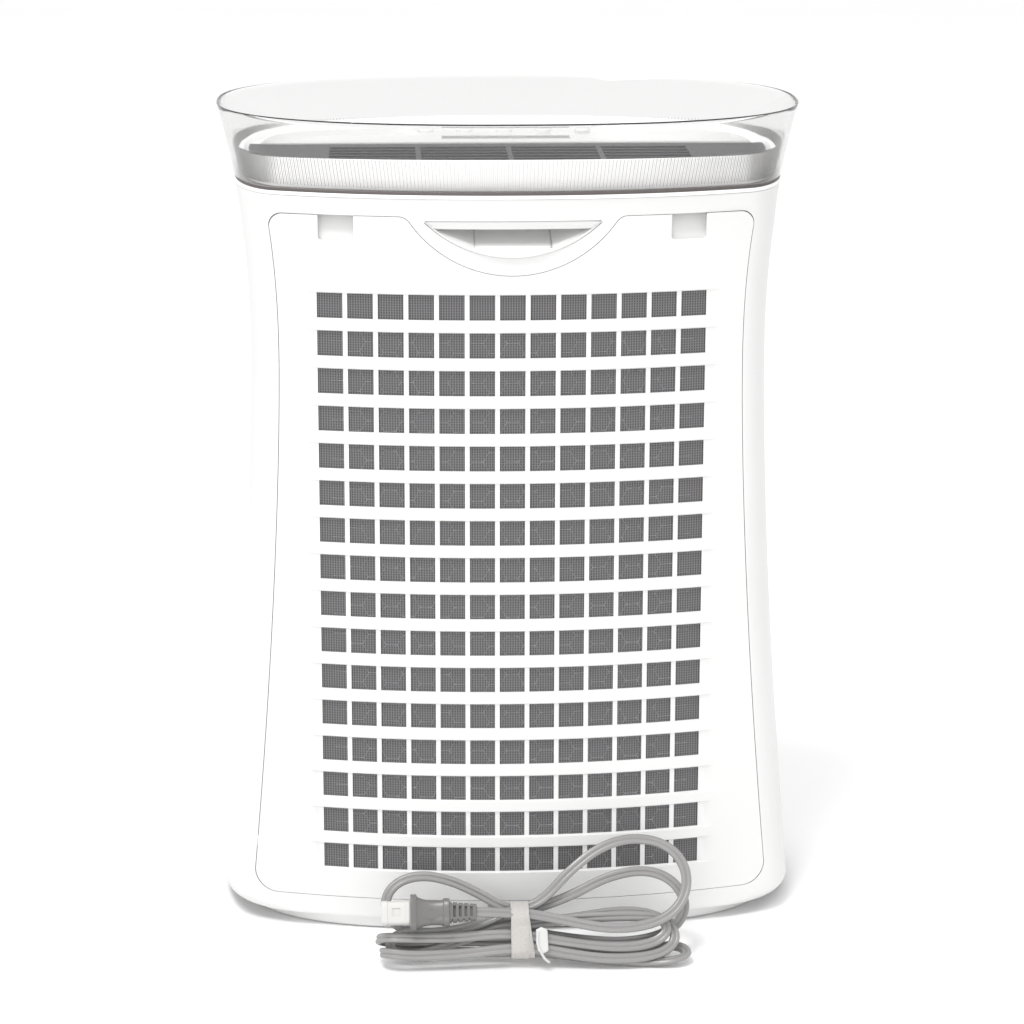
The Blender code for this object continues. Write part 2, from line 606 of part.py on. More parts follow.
def make_deck():
    white = material("white_deck", (0.84, 0.84, 0.83), 0.35)
    flange = SHELL_TOP_Z + GAP
    floor = DECK_TOP_Z - DECK_THICK
    skirt_inside = SKIRT_INSET + SKIRT_WALL
    rings = [flat_ring(NECK_Z, 0.4, flange), flat_ring(NECK_Z, 0.0, NECK_Z)]
    rings += [flat_ring(NECK_Z, SKIRT_INSET, NECK_Z), flat_ring(549, SKIRT_INSET, SKIRT_TOP_Z)]
    rings += [flat_ring(549, skirt_inside, SKIRT_TOP_Z), flat_ring(542, skirt_inside, DECK_TOP_Z)]
    under = [flat_ring(NECK_Z, 12.0, flange), flat_ring(NECK_Z, 11.0, floor)]
    deck = place("top_deck", *loft(rings), white)
    hollow = loft([flat_ring(NECK_Z, 12.0, flange - 8), under[0], under[1]])
    cut(deck, tool("deck_hollow", hollow), tool("outlet_opening", outlet_block()))

    plate = [flat_ring(542, GRILLE_INSET, DECK_TOP_Z + GAP + z) for z in (0.0, GRILLE_THICK)]
    grille = place("outlet_grille", *loft(plate), material("dark_grille", (0.045, 0.045, 0.05), 0.5))
    keep_inside(grille, tool("outlet_half", block((-260, CONTROL_EDGE_Y + GAP, 500), (260, 200, 600))))
    slots = []
    for column in range(4):
        for row in range(6):
            x = (column - 1.5) * 62.5
            y = 7.0 + row * 12.6
            shape = block((x - 29.5, y, 520), (x + 29.5, y + 9.4, 560))
            slots.append(tool("outlet_slot_%d_%d" % (column, row), shape))
    cut(grille, *slots)

    panel_edge = loft([flat_ring(NECK_Z, 17.0, DECK_TOP_Z + GAP), flat_ring(NECK_Z, 17.0, DECK_TOP_Z + 2.6),
                       flat_ring(NECK_Z, 18.2, DECK_TOP_Z + 3.6)])
    panel = place("control_panel", *panel_edge, material("white_gloss", (0.85, 0.85, 0.84), 0.16))
    keep_inside(panel, tool("control_half", block((-260, -200, 500), (260, CONTROL_EDGE_Y, 600))))
    cut(panel, tool("display_hole", block((-45, -38, 530), (45, -24, 560))))
    lens = block((-44.7, -37.7, DECK_TOP_Z + GAP), (44.7, -24.3, DECK_TOP_Z + 3.3))
    place("display_lens", *lens, material("smoked_lens", (0.05, 0.05, 0.055), 0.08))
    board = block((-78, -84, 527.0), (78, -20, 528.6))
    place("display_board", *board, material("circuit_board", (0.05, 0.22, 0.10), 0.45))
    for index, name in enumerate(BUTTON_NAMES):
        spot = ((index - 2) * BUTTON_PITCH, BUTTON_Y, 0.0)
        hole = [(0, 530), (BUTTON_RADIUS + 0.4, 530), (BUTTON_RADIUS + 0.4, 560), (0, 560)]
        guide = tool("button_hole_" + name, turned(hole, 14, spot, "Z", solid=True))
        cut(panel, guide)
        cut(deck, guide)
        crown = DECK_TOP_Z + 4.7
        cap = [(0, 535.0), (7.2, 535.0), (7.2, 537.0), (BUTTON_RADIUS, 537.0)]
        cap += [(BUTTON_RADIUS, crown - 0.7), (BUTTON_RADIUS - 0.7, crown), (0, crown - 0.3)]
        button = place("button_" + name, *turned(cap, 14, (0, 0, -DECK_TOP_Z), "Z", solid=True),
                       material("button_plastic", (0.78, 0.78, 0.78), 0.35))
        button.location = Vector((spot[0], spot[1], DECK_TOP_Z)) * MM


def outlet_block():
    """The outlet opening behind the control panel; its rear edge follows the body's back."""
    half = 128.0
    back = [(x, 88.0 - BACK_BOW * x * x) for x in np.linspace(half, -half, 13)]
    outline = [(-half, 0.0), (half, 0.0)] + back
    return loft([[(x, y, z) for x, y in outline] for z in (525.0, 560.0)])


def make_collar():
    seal_top = NECK_Z + 2.2
    inset = SKIRT_INSET - 1.6
    seal = [flat_ring(NECK_Z, 0.5, NECK_Z + GAP), flat_ring(NECK_Z, 0.5, seal_top)]
    seal += [flat_ring(NECK_Z, inset, seal_top), flat_ring(NECK_Z, inset, NECK_Z + GAP)]
    place("collar_seal", *loft(seal, endless=True), material("seal_grey", (0.12, 0.11, 0.11), 0.6))
    low = seal_top + GAP
    heights = [low, 537, 548, 559, 569, RIM_Z]
    outer = [plan_ring(z, 0.0) for z in heights]
    inner = [plan_ring(z, 2.4) for z in reversed(heights)]
    clear = material("clear_collar", (0.80, 0.79, 0.79), 0.05)
    place("air_collar", *loft(outer + inner, endless=True), clear)


def make_handle():
    white = material("white_housing", (0.84, 0.84, 0.83), 0.38)
    middle = half_depth(495.0)
    cup = place("handle_cup", *prism(handle_outline(GAP), middle - HANDLE_DEPTH, 130), white)
    keep_inside(cup, tool("handle_skin", loft([plan_ring(z, 0.3) for z in np.linspace(460, 520, 5)])))
    cut(cup, tool("handle_room", prism(handle_outline(2.6), middle - HANDLE_DEPTH + 2.2, 140)))


def make_electronics():
    board = material("circuit_board", (0.05, 0.22, 0.10), 0.45)
    place("main_board", *block((-60, -80, 380), (60, -78.4, 440)), board)
    black = material("sensor_black", (0.05, 0.05, 0.05), 0.5)
    place("dust_sensor", *block((126, -66, 334), (152, -46, 368)), black)
    blue = material("ion_blue", (0.10, 0.16, 0.30), 0.5)
    place("ion_unit", *block((142, -30, 480), (160, 5, 518)), blue)


# ---------------------------------------------------------------- cord

def hank_point(x, t, n):
    """A point of the leaning hank: x across, t up its plane, n out from it."""
    y = HANK_FOOT[0] - t * math.cos(HANK_LEAN) + n * math.sin(HANK_LEAN)
    z = HANK_FOOT[1] + t * math.sin(HANK_LEAN) + n * math.cos(HANK_LEAN)
    return (x, y, z)


def hank_outline():
    """A large lobe, a tied waist and a small lobe, in the hank's own plane."""
    large = arc((-76.0, 43.0), 42.0, 62.0, 298.0, 12)
    small = arc((68.0, 30.0), 28.0, -118.0, 118.0, 10)
    waist_low = [(-30.0, 4.0), (-15.0, 3.5), (3.0, 3.5), (20.0, 2.5)]
    waist_high = [(20.0, 43.0), (3.0, 38.5), (-15.0, 38.5), (-28.0, 46.0)]
    return large + waist_low + small + waist_high


def tube(name, points, finish):
    """A cord stretch: a round bar along a smooth curve through its points."""
    curve = bpy.data.curves.new(name, "CURVE")
    curve.dimensions = "3D"
    spline = curve.splines.new("POLY")
    spline.points.add(len(points) - 1)
    for target, point in zip(spline.points, points):
        target.co = (*[MM * c for c in point], 1.0)
    curve.bevel_depth = MM * CORD_DIAMETER / 2
    curve.bevel_resolution = 2
    curve.use_fill_caps = True
    curve.materials.append(finish)
    made = bpy.data.objects.new(name, curve)
    bpy.context.collection.objects.link(made)
    return made


def smooth_route(points, spacing):
    """A Catmull-Rom curve through the points, sampled at an even spacing."""
    knots = np.array(points, float)
    ends = np.vstack([2 * knots[0] - knots[1], knots, 2 * knots[-1] - knots[-2]])
    fine = []
    for k in range(1, len(ends) - 2):
        a, b, c, d = ends[k - 1:k + 3]
        for t in np.linspace(0.0, 1.0, 20, endpoint=False):
            fine.append(0.5 * (2 * b + (c - a) * t + (2 * a - 5 * b + 4 * c - d) * t * t
                               + (3 * b - a - 3 * c + d) * t ** 3))
    fine.append(ends[-2])
    fine = np.array(fine)
    run = np.concatenate([[0.0], np.cumsum(np.linalg.norm(np.diff(fine, axis=0), axis=1))])
    count = max(2, int(round(run[-1] / spacing)) + 1)
    marks = np.linspace(0.0, run[-1], count)
    return [tuple(np.interp(m, run, fine[:, i]) for i in range(3)) for m in marks]


def make_cord():
    grey = material("cord_grey", (0.40, 0.39, 0.385), 0.5)
    snout = [(0.0, 100.0), (6.6, 100.0), (6.6, 102.4), (5.1, 102.4), (5.1, 106.7), (6.4, 106.7)]
    snout += [(6.4, 109.0), (5.2, 110.5), (4.5, GLAND_TIP_Y), (0.0, GLAND_TIP_Y)]
    place("cord_gland", *turned(snout, 16, (GLAND_X, 0, GLAND_Z), solid=True), grey)

    face = Vector(hank_point(GLAND_X, 24.0, -HANK_HALF_THICK - GAP - 0.2))
    out = Vector((0.0, math.sin(HANK_LEAN), math.cos(HANK_LEAN)))
    lead = [(GLAND_X, GLAND_TIP_Y + GAP, GLAND_Z), (GLAND_X, GLAND_TIP_Y + 7, GLAND_Z + 0.3)]
    lead += [tuple(face - 7.0 * out), tuple(face)]
    tube("cord_lead", smooth_route(lead, 4.5), grey)

    outline = hank_outline()
    rings = [[hank_point(x, t, n) for x, t in outline] for n in (-HANK_HALF_THICK, HANK_HALF_THICK)]
    place("cord_hank", *loft(rings), grey)

    lift = HANK_HALF_THICK + GAP + CORD_DIAMETER / 2
    level = lift + 3.8
    route = [(26.6, PLUG_T, level), (21.0, PLUG_T, level - 0.2)]
    route += [(11.0, PLUG_T - 0.3, lift + 1.2), (-2.0, PLUG_T - 0.5, lift + 0.2)]
    tube("cord_plug_lead", smooth_route([hank_point(*p) for p in route], 7.0), grey)
    make_plug(grey, level)
    make_tie()


def across(x_profile, centre_t, centre_n, sides=12):
    """A closed loft along X of flattened ovals: (x, half height, half thickness) stations."""
    rings = []
    for x, tall, thick in x_profile:
        ring = []
        for k in range(sides):
            a = 2.0 * math.pi * (k + 0.5) / sides
            u = math.copysign(abs(math.cos(a)) ** 0.6, math.cos(a)) * tall
            v = math.copysign(abs(math.sin(a)) ** 0.6, math.sin(a)) * thick
            ring.append(hank_point(x, centre_t + u, centre_n + v))
        rings.append(ring)
    return loft(rings)


def oblong(x, t, n, half_t, half_n):
    """Four corners of a rectangle across the plug."""
    corners = ((-half_t, -half_n), (half_t, -half_n), (half_t, half_n), (-half_t, half_n))
    return [hank_point(x, t + a, n + b) for a, b in corners]


def make_plug(finish, level):
    body = [(27.3, 4.2, 3.2), (45.0, 6.5, 5.4), (46.0, 9.5, 6.4), (50.0, 9.5, 6.4), (51.0, 8.6, 5.9)]
    body += [(68.0, 10.2, 6.3), (69.0, 12.6, 6.9), (72.5, 12.6, 6.9)]
    place("plug_body", *across(body, PLUG_T, level), finish)
    brass = material("plug_brass", (0.70, 0.58, 0.32), 0.3, 1.0)
    for name, t in BLADES:
        blade = [oblong(x, t, level, 0.8, 3.1) for x in (72.8, 90.0)]
        place("plug_blade_" + name, *loft(blade), brass)
    cover = across([(73.0, 8.4, 4.9), (91.0, 8.4, 4.9), (92.5, 7.8, 4.4)], PLUG_T, level)
    piece = place("blade_cover", *cover, material("cover_white", (0.82, 0.81, 0.79), 0.45))
    for name, t in BLADES:
        slot = [oblong(x, t, level, 1.2, 3.5) for x in (60.0, 90.6)]
        cut(piece, tool("cover_slot_" + name, loft(slot)))


def make_tie():
    """A fabric strap round the hank's waist, and the small tag on it."""
    fabric = material("tie_fabric", (0.50, 0.47, 0.44), 0.9)
    low_n, high_n = -HANK_HALF_THICK, HANK_HALF_THICK + CORD_DIAMETER + 0.6

    def loop(grow):
        corners = [(3.0 - grow, low_n - grow), (39.5 + grow, low_n - grow)]
        corners += [(39.5 + grow, high_n + grow), (3.0 - grow, high_n + grow)]
        return corners
    rings = []
    for x, grow in ((-12.5, 0.4), (-12.5, 1.6), (0.5, 1.6), (0.5, 0.4)):
        rings.append([hank_point(x, t, n) for t, n in loop(grow)])
    place("cord_tie", *loft(rings, endless=True), fabric)
    tag = [[hank_point(x, t, n) for x, t in ((-24, 8), (-15, 8), (-15, 26), (-24, 26))]
           for n in (HANK_HALF_THICK + GAP, HANK_HALF_THICK + 2.3)]
    place("tie_tag", *loft(tag), material("tag_white", (0.85, 0.85, 0.84), 0.35))


def build():
    clear_scene()
    make_shells()
    make_base()
    make_rear_panel()
    make_filters()
    make_scroll()
    make_fan()
    make_deck()
    make_collar()
    make_handle()
    make_electronics()
    make_cord()


build()
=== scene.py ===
"""The looks of a room air purifier, seen from behind: its back faces +Y and its feet stand on z = 0.

Lengths are in millimetres until mesh_piece turns them into metres with MM; the lights are placed in metres.
"""
import math

import bmesh
import bpy
import numpy as np
from mathutils import Matrix, Vector


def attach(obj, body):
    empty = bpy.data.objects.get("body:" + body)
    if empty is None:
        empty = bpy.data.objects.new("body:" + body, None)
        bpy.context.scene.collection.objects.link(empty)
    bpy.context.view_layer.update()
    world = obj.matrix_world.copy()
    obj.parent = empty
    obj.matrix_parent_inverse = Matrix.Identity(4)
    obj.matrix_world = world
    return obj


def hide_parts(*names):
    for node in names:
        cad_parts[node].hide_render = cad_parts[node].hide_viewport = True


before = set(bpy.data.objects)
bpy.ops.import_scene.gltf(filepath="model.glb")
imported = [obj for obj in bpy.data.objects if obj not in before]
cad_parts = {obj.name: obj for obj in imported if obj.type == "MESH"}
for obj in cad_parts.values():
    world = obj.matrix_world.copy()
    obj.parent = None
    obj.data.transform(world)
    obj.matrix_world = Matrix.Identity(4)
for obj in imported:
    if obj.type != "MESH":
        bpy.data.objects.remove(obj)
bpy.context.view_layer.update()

MM = 0.001

# Body, the same numbers as the CAD
WAIST_Z = 410.0
WAIST_HALF_WIDTH = 180.5
WAIST_HALF_DEPTH = 94.5
FOOT_FLARE_WIDTH = 26.0
FOOT_FLARE_DEPTH = 12.0
FOOT_POWER = 1.57
RIM_FLARE_WIDTH = 20.5
RIM_FLARE_DEPTH = 31.3
RIM_POWER_WIDTH = 2.26
RIM_POWER_DEPTH = 3.2
BACK_BOW = 0.00084
RIM_EXPONENT = 2.43
CORNER_WIDTH = 22.0
FOOT_ROUND_Z = 20.0
FOOT_ROUND_WIDTH = 34.0
RIM_BLEND_Z = 495.0
PLINTH_BASE_Z = 1.0
BODY_BASE_Z = 9.7
SHELL_TOP_Z = 523.5
NECK_Z = 526.3
RIM_Z = 577.0
WALL = 2.6
PARTING_Y = -30.0
GAP = 0.3
PLINTH_HALF_WIDTH = 190.0
PLINTH_HALF_DEPTH = 100.0
PLINTH_EXPONENT = 2.8
FOOT_X, FOOT_Y = 150.0, 62.0
FOOT_HOLE_RADIUS = 11.3

# Cord and hank
CORD_WIDTH = 7.0
CORD_THICK = 3.7
CORD_WEB = 1.05                # half the thickness between the two cores
TWIST_SWAY = 0.30              # radians either way, once every TWIST_RUN points of its path
TWIST_RUN = 61.0
GLAND_X = 12.0
GLAND_Z = 16.5
GLAND_TIP_Y = 130.0
HANK_FOOT = (168.0, 5.3)       # y and z of the foot of the hank's plane
HANK_LEAN = math.radians(54.8)
HANK_MIDDLE_X = -6.0           # where the tie holds every turn
HANK_OUT = np.array([0.0, math.sin(HANK_LEAN), math.cos(HANK_LEAN)])
PLUG_LEVEL = 16.6              # the plug's middle: out from the hank's plane, and up it
PLUG_T = 30.5
BLADE_T = 6.0                  # each blade's distance from the plug's middle


# ---- meshes

def mesh_piece(name, points, faces, material, smooth_angle=35.0):
    """One mesh object from millimetre points; edges sharper than smooth_angle stay sharp."""
    mesh = bpy.data.meshes.new(name)
    points = np.asarray(points, float) * MM
    mesh.from_pydata(points.tolist(), [], [tuple(int(i) for i in f) for f in faces])
    work = bmesh.new()
    work.from_mesh(mesh)
    bmesh.ops.recalc_face_normals(work, faces=work.faces)
    work.to_mesh(mesh)
    work.free()
    mesh.shade_smooth()
    mesh.set_sharp_from_angle(angle=math.radians(smooth_angle))
    made = bpy.data.objects.new(name, mesh)
    bpy.context.collection.objects.link(made)
    if material is not None:
        mesh.materials.append(material)
    return made


def loft(rings, endless=False, closed=True, caps=True):
    """Points and faces of a skin over rings of equal length."""
    count = len(rings[0])
    points = [p for ring in rings for p in ring]
    faces = []
    for k in range(len(rings) if endless else len(rings) - 1):
        low = k * count
        high = ((k + 1) % len(rings)) * count
        for i in range(count if closed else count - 1):
            j = (i + 1) % count
            faces.append((low + i, low + j, high + j, high + i))
    if caps and closed and not endless:
        faces.append(tuple(reversed(range(count))))
        faces.append(tuple(range(len(points) - count, len(points))))
    return points, faces


def join_shapes(*shapes):
    """Several (points, faces) sets as one."""
    points, faces = [], []
    for more, sides in shapes:
        faces += [tuple(i + len(points) for i in face) for face in sides]
        points += [tuple(p) for p in more]
    return points, faces


def prism(outline, low_y, high_y):
    return loft([[(x, y, z) for x, z in outline] for y in (low_y, high_y)])


def block(low, high):
    outline = [(low[0], low[2]), (high[0], low[2]), (high[0], high[2]), (low[0], high[2])]
    return prism(outline, low[1], high[1])


def arc(centre, radius, start, end, steps):
    angles = [math.radians(start + (end - start) * k / steps) for k in range(steps + 1)]
    return [(centre[0] + radius * math.cos(a), centre[1] + radius * math.sin(a)) for a in angles]


def circle(steps):
    """Cosine and sine at even steps round a circle."""
    return [(math.cos(a), math.sin(a)) for a in np.linspace(0.0, 2.0 * math.pi, steps, endpoint=False)]


def squared(steps, power):
    """A circle squared off towards a rectangle by a power below 1, from half a step on."""
    turn = 2.0 * math.pi * (np.arange(steps) + 0.5) / steps
    c, s = np.cos(turn), np.sin(turn)
    return np.stack([np.copysign(np.abs(c) ** power, c), np.copysign(np.abs(s) ** power, s)], axis=1)


def smooth_route(points, spacing):
    """A centripetal Catmull-Rom curve through the points, sampled at an even spacing."""
    knots = np.array(points, float)
    ends = np.vstack([2 * knots[0] - knots[1], knots, 2 * knots[-1] - knots[-2]])
    fine = []
    for a, b, c, d in zip(ends, ends[1:], ends[2:], ends[3:]):
        gaps = [max(np.linalg.norm(q - p), 1e-6) ** 0.5 for p, q in ((a, b), (b, c), (c, d))]
        t0, (t1, t2, t3) = 0.0, np.cumsum(gaps)
        t = np.linspace(t1, t2, 16, endpoint=False)[:, None]

        def mix(p, q, low, high):
            return (high - t) / (high - low) * p + (t - low) / (high - low) * q

        ab, bc, cd = mix(a, b, t0, t1), mix(b, c, t1, t2), mix(c, d, t2, t3)
        fine += list(mix(mix(ab, bc, t0, t2), mix(bc, cd, t1, t3), t1, t2))
    fine.append(ends[-2])
    fine = np.array(fine)
    run = np.concatenate([[0.0], np.cumsum(np.linalg.norm(np.diff(fine, axis=0), axis=1))])
    count = max(2, int(round(run[-1] / spacing)) + 1)
    marks = np.linspace(0.0, run[-1], count)
    return np.stack([np.interp(marks, run, fine[:, i]) for i in range(3)], axis=1)


def relax(points, passes):
    """Evens out the bends of a route and keeps its ends."""
    out = np.array(points, float)
    for _ in range(passes):
        out[1:-1] += 0.5 * (0.5 * (out[:-2] + out[2:]) - out[1:-1])
    return out


# ---- materials

def nodes_of(name):
    made = bpy.data.materials.new(name)
    made.use_nodes = True
    tree = made.node_tree
    return made, tree, tree.nodes["Principled BSDF"]


def add_node(tree, kind, **values):
    made = tree.nodes.new(kind)
    for key, value in values.items():
        if key in made.inputs:
            made.inputs[key].default_value = value
        else:
            setattr(made, key, value)
    return made


def object_space(tree):
    return add_node(tree, "ShaderNodeTexCoord").outputs["Object"]


def noise(tree, scale, detail=3.0, roughness=0.5):
    made = add_node(tree, "ShaderNodeTexNoise", Scale=scale, Detail=detail, Roughness=roughness)
    tree.links.new(object_space(tree), made.inputs["Vector"])
    return made.outputs["Fac"]


def ramp(tree, value, low, high, start=0.3, end=0.7):
    made = add_node(tree, "ShaderNodeValToRGB")
    made.color_ramp.elements[0].position = start
    made.color_ramp.elements[1].position = end
    made.color_ramp.elements[0].color = (*low, 1.0)
    made.color_ramp.elements[1].color = (*high, 1.0)
    tree.links.new(value, made.inputs["Fac"])
    return made.outputs["Color"]


def span(tree, value, low, high):
    made = add_node(tree, "ShaderNodeMapRange")
    made.inputs["To Min"].default_value = low
    made.inputs["To Max"].default_value = high
    tree.links.new(value, made.inputs["Value"])
    return made.outputs["Result"]


def math_node(tree, operation, a, b=None):
    made = add_node(tree, "ShaderNodeMath", operation=operation)
    for socket, value in zip(made.inputs, (a, b)):
        if value is None:
            continue
        if isinstance(value, (int, float)):
            socket.default_value = value
        else:
            tree.links.new(value, socket)
    return made.outputs["Value"]


def bump(tree, shader, height, distance, strength=1.0):
    made = add_node(tree, "ShaderNodeBump", Strength=strength, Distance=distance)
    tree.links.new(height, made.inputs["Height"])
    tree.links.new(made.outputs["Normal"], shader.inputs["Normal"])


def finish(name, colours, tone, rough, patch=None, grain=None, depth=0.0, ends=(0.3, 0.7), sockets=None):
    """A material whose colour, roughness and bump follow noise; each noise is (scale, detail, roughness)."""
    made, tree, shader = nodes_of(name)
    tree.links.new(ramp(tree, noise(tree, *tone), *colours, *ends), shader.inputs["Base Color"])
    if patch:
        tree.links.new(span(tree, noise(tree, *patch), *rough), shader.inputs["Roughness"])
    else:
        shader.inputs["Roughness"].default_value = rough
    if grain:
        bump(tree, shader, noise(tree, *grain), depth * MM)
    for socket, value in (sockets or {}).items():
        shader.inputs[socket].default_value = value
    return made


def scaled(colour, share):
    return tuple(c * share for c in colour)


def moulded(name, colour, roughness=0.38, grain_mm=0.35, depth=0.004, spread=0.02, coat=0.0):
    """Injection-moulded plastic: fine spark grain, slow colour drift and patchy gloss."""
    low = tuple(max(c - spread, 0.0) for c in colour)
    high = tuple(min(c + spread * 0.5, 1.0) for c in colour)
    return finish(name, (low, high), (9.0, 2.0), (roughness - 0.06, roughness + 0.07), (42.0, 3.0, 0.6),
                  (1000.0 / grain_mm, 2.0, 0.55), depth, sockets={"Coat Weight": coat})


def metal(name, colour, roughness):
    return finish(name, (scaled(colour, 0.9), colour), (60.0, 3.0), (roughness - 0.06, roughness + 0.08),
                  (400.0, 3.0, 0.6), (1500.0, 2.0), 0.004, sockets={"Metallic": 1.0})


def smoked(name):
    return finish(name, ((0.012, 0.012, 0.014), (0.03, 0.03, 0.033)), (12.0, 2.0), (0.05, 0.11), (90.0, 2.0),
                  sockets={"Coat Weight": 0.4})


def paper(name, colour):
    fibre = (500.0, 5.0, 0.65)
    return finish(name, (scaled(colour, 0.93), colour), fibre, 0.88, None, fibre, 0.05)


def thin_film(name, colour, alpha, roughness):
    return finish(name, (scaled(colour, 0.94), colour), (12.0, 2.0), (roughness - 0.05, roughness + 0.05),
                  (60.0, 2.0), sockets={"Alpha": alpha})


def woven(name, pitches, height_of, colours, ends, roughness, depth, sheen=0.0):
    """Threads along X and Z at their pitches in millimetres; height_of turns their waves into a height."""
    made, tree, shader = nodes_of(name)
    split = add_node(tree, "ShaderNodeSeparateXYZ")
    tree.links.new(object_space(tree), split.inputs["Vector"])
    phases = [math_node(tree, "MULTIPLY", split.outputs[axis], 2.0 * math.pi / (pitch * MM))
              for axis, pitch in zip("XZ", pitches)]
    height = height_of(tree, *phases)
    tree.links.new(ramp(tree, height, *colours, *ends), shader.inputs["Base Color"])
    shader.inputs["Roughness"].default_value = roughness
    shader.inputs["Sheen Weight"].default_value = sheen
    bump(tree, shader, height, depth * MM, 0.8)
    return made


WHITE = (0.72, 0.72, 0.715)


def camera():
    """The photograph's view: from behind and above, a little to one side."""
    focal_px, cross, distance, height = 3098.35, 3.837, 2144.98, 871.22
    pitch, yaw, roll = 0.269088, 0.0440896, 0.0026709
    data = bpy.data.cameras.new("camera")
    data.sensor_width = 36.0
    data.lens = focal_px * data.sensor_width / 1024.0
    data.clip_end = 20.0
    made = bpy.data.objects.new("camera", data)
    c, s = math.cos(yaw), math.sin(yaw)
    spot = (distance * s - cross * c, cross * s + distance * c, height)
    turn = Matrix.Rotation(math.pi - yaw, 4, "Z") @ Matrix.Rotation(math.pi / 2 - pitch, 4, "X")
    turn = turn @ Matrix.Rotation(roll, 4, "Z")
    made.matrix_world = Matrix.Translation(Vector(spot) * MM) @ turn
    bpy.context.collection.objects.link(made)
    bpy.context.scene.camera = made


camera()


# ---- cord

def hank_point(x, t, n):
    """A point of the leaning hank: x across, t up its plane, n out from it."""
    y = HANK_FOOT[0] - t * math.cos(HANK_LEAN) + n * math.sin(HANK_LEAN)
    z = HANK_FOOT[1] + t * math.sin(HANK_LEAN) + n * math.cos(HANK_LEAN)
    return (x, y, z)


# Turns of the hank in its own plane (x, t, n), from the gland to the plug; x < 0 is the photograph's right
HANK_TURNS = (
    # first right turn: out low behind, back over the middle loop
    (-6, 22, -6.6), (-22, 19, -6.9), (-45, 15.5, -7.4), (-75, 13.5, -7.6), (-98, 17, -7.2), (-112, 24, -6.2),
    (-118.5, 34, -5.0), (-118, 44, -4.0), (-112, 53.5, -3.4), (-102, 60, -3.0), (-87, 62.5, -3.0),
    (-64, 57.5, -3.0), (-41, 46.5, -2.8), (-20, 38.5, -2.4),
    # first left turn: the big upper loop
    (-6, 35.5, -2.2), (6, 37, -2.4), (25, 48, -2.8), (44, 57, -3.0), (64, 61, -3.0), (80, 57, -3.0),
    (88.5, 48, -3.0), (89.5, 38, -3.0), (84, 28, -3.0), (75, 22.8, -3.0), (62, 20.8, -3.0), (45, 21.8, -3.0),
    (25, 25, -2.8), (6, 28.2, -2.4),
    # second right turn
    (-6, 28.4, -2.2), (-20, 28.0, -1.9), (-42, 29.5, -1.0), (-68, 33, -0.4), (-88, 32.5, -0.2),
    (-102, 27.5, 0.0), (-110.5, 19, 0.6), (-110.5, 11, 1.6), (-102, 4.0, 3.0), (-86, 0.0, 4.4),
    (-62, -0.6, 5.0), (-38, 2.6, 5.6), (-20, 5.8, 6.2),
    # second left turn: the lower front loop
    (-6, 7.2, 6.4), (10, 6.6, 6.3), (30, 4.6, 6.0), (50, 3.2, 6.6), (70, 2.8, 7.6), (82, 3.4, 8.8),
    (90, 5.2, 6.4), (93.5, 6.8, 0.0), (90, 8.0, -6.6), (82, 8.6, -9.6), (66, 8.6, -8.8), (40, 8.0, -7.4),
    (12, 7.5, -6.8),
    # third right turn: along the floor
    (-6, 7.5, -6.6), (-22, 6.2, -5.8), (-42, 3.2, -3.6), (-62, 0.2, -1.2), (-84, -1.8, 0.0),
    (-100, -2.4, 1.6), (-111, -1.6, 2.6), (-117.5, 1.0, 1.2), (-119.5, 4.4, -2.2), (-117, 8.4, -6.6),
    (-109, 10.8, -8.4), (-95, 8.5, -8.2), (-75, 6.5, -8.0), (-50, 9.5, -7.2), (-24, 13.0, -6.9),
    # third left turn: the upper front hairpin
    (-6, 14.6, -6.6), (12, 15.0, -6.9), (42, 15.4, -7.6), (68, 15.5, -8.8), (84, 15.8, -9.4),
    (92.5, 16.2, -6.5), (96, 16.2, 0.0), (92.5, 15.8, 6.0), (84, 15.2, 8.6), (70, 14.8, 7.6), (44, 15.2, 6.4),
    (20, 16.6, 6.3), (6, 17.0, 6.4),
    # fourth right turn: the inner loop
    (-6, 15.8, 6.4), (-18, 14.0, 6.2), (-40, 10.4, 5.4), (-64, 7.6, 4.6), (-86, 8.2, 4.2), (-100, 12.6, 4.0),
    (-106.0, 19.5, 4.0), (-102.5, 26, 4.1), (-90, 28.4, 4.2), (-66, 28.8, 4.2), (-40, 27.6, 3.6),
    (-20, 25.6, 2.8),
    # fourth left turn: hidden behind the front ones
    (-6, 24.0, 2.2), (8, 22.4, 1.4), (26, 17.8, -0.2), (48, 11.6, -2.6), (60, 8.0, -3.8), (74, 6.0, -4.6),
    (83, 7.2, -4.2), (88, 11.5, -1.0), (85, 17.0, 2.4), (76, 19.5, 3.2), (60, 19.5, 2.6), (40, 21.5, 2.2),
    (22, 26.6, 2.0), (8, 32.6, 2.1),
    # last right turn: the big loop in front
    (-6, 36.2, 2.4), (-14.5, 38.6, 3.2), (-24, 46, 4.2), (-33, 55.6, 5.2), (-46, 67, 5.8), (-58, 75.6, 6.0),
    (-72, 81.6, 6.0), (-87, 83.2, 6.0), (-101, 80.6, 6.2), (-112, 73.4, 6.6), (-118, 63.6, 7.2),
    (-119.8, 52.4, 7.8), (-117, 41.0, 8.4), (-110.5, 31.4, 8.8), (-100, 24.8, 9.0), (-85, 20.6, 9.0),
    (-70, 19.6, 8.9), (-54, 21.2, 8.8), (-34, 25.6, 8.8), (-18, 28.8, 9.4),
    # to the plug
    (-6, 30.4, 10.8), (6, 30.2, 13.0), (16, 30.4, 15.4), (27.6, 30.5, 16.5),
)


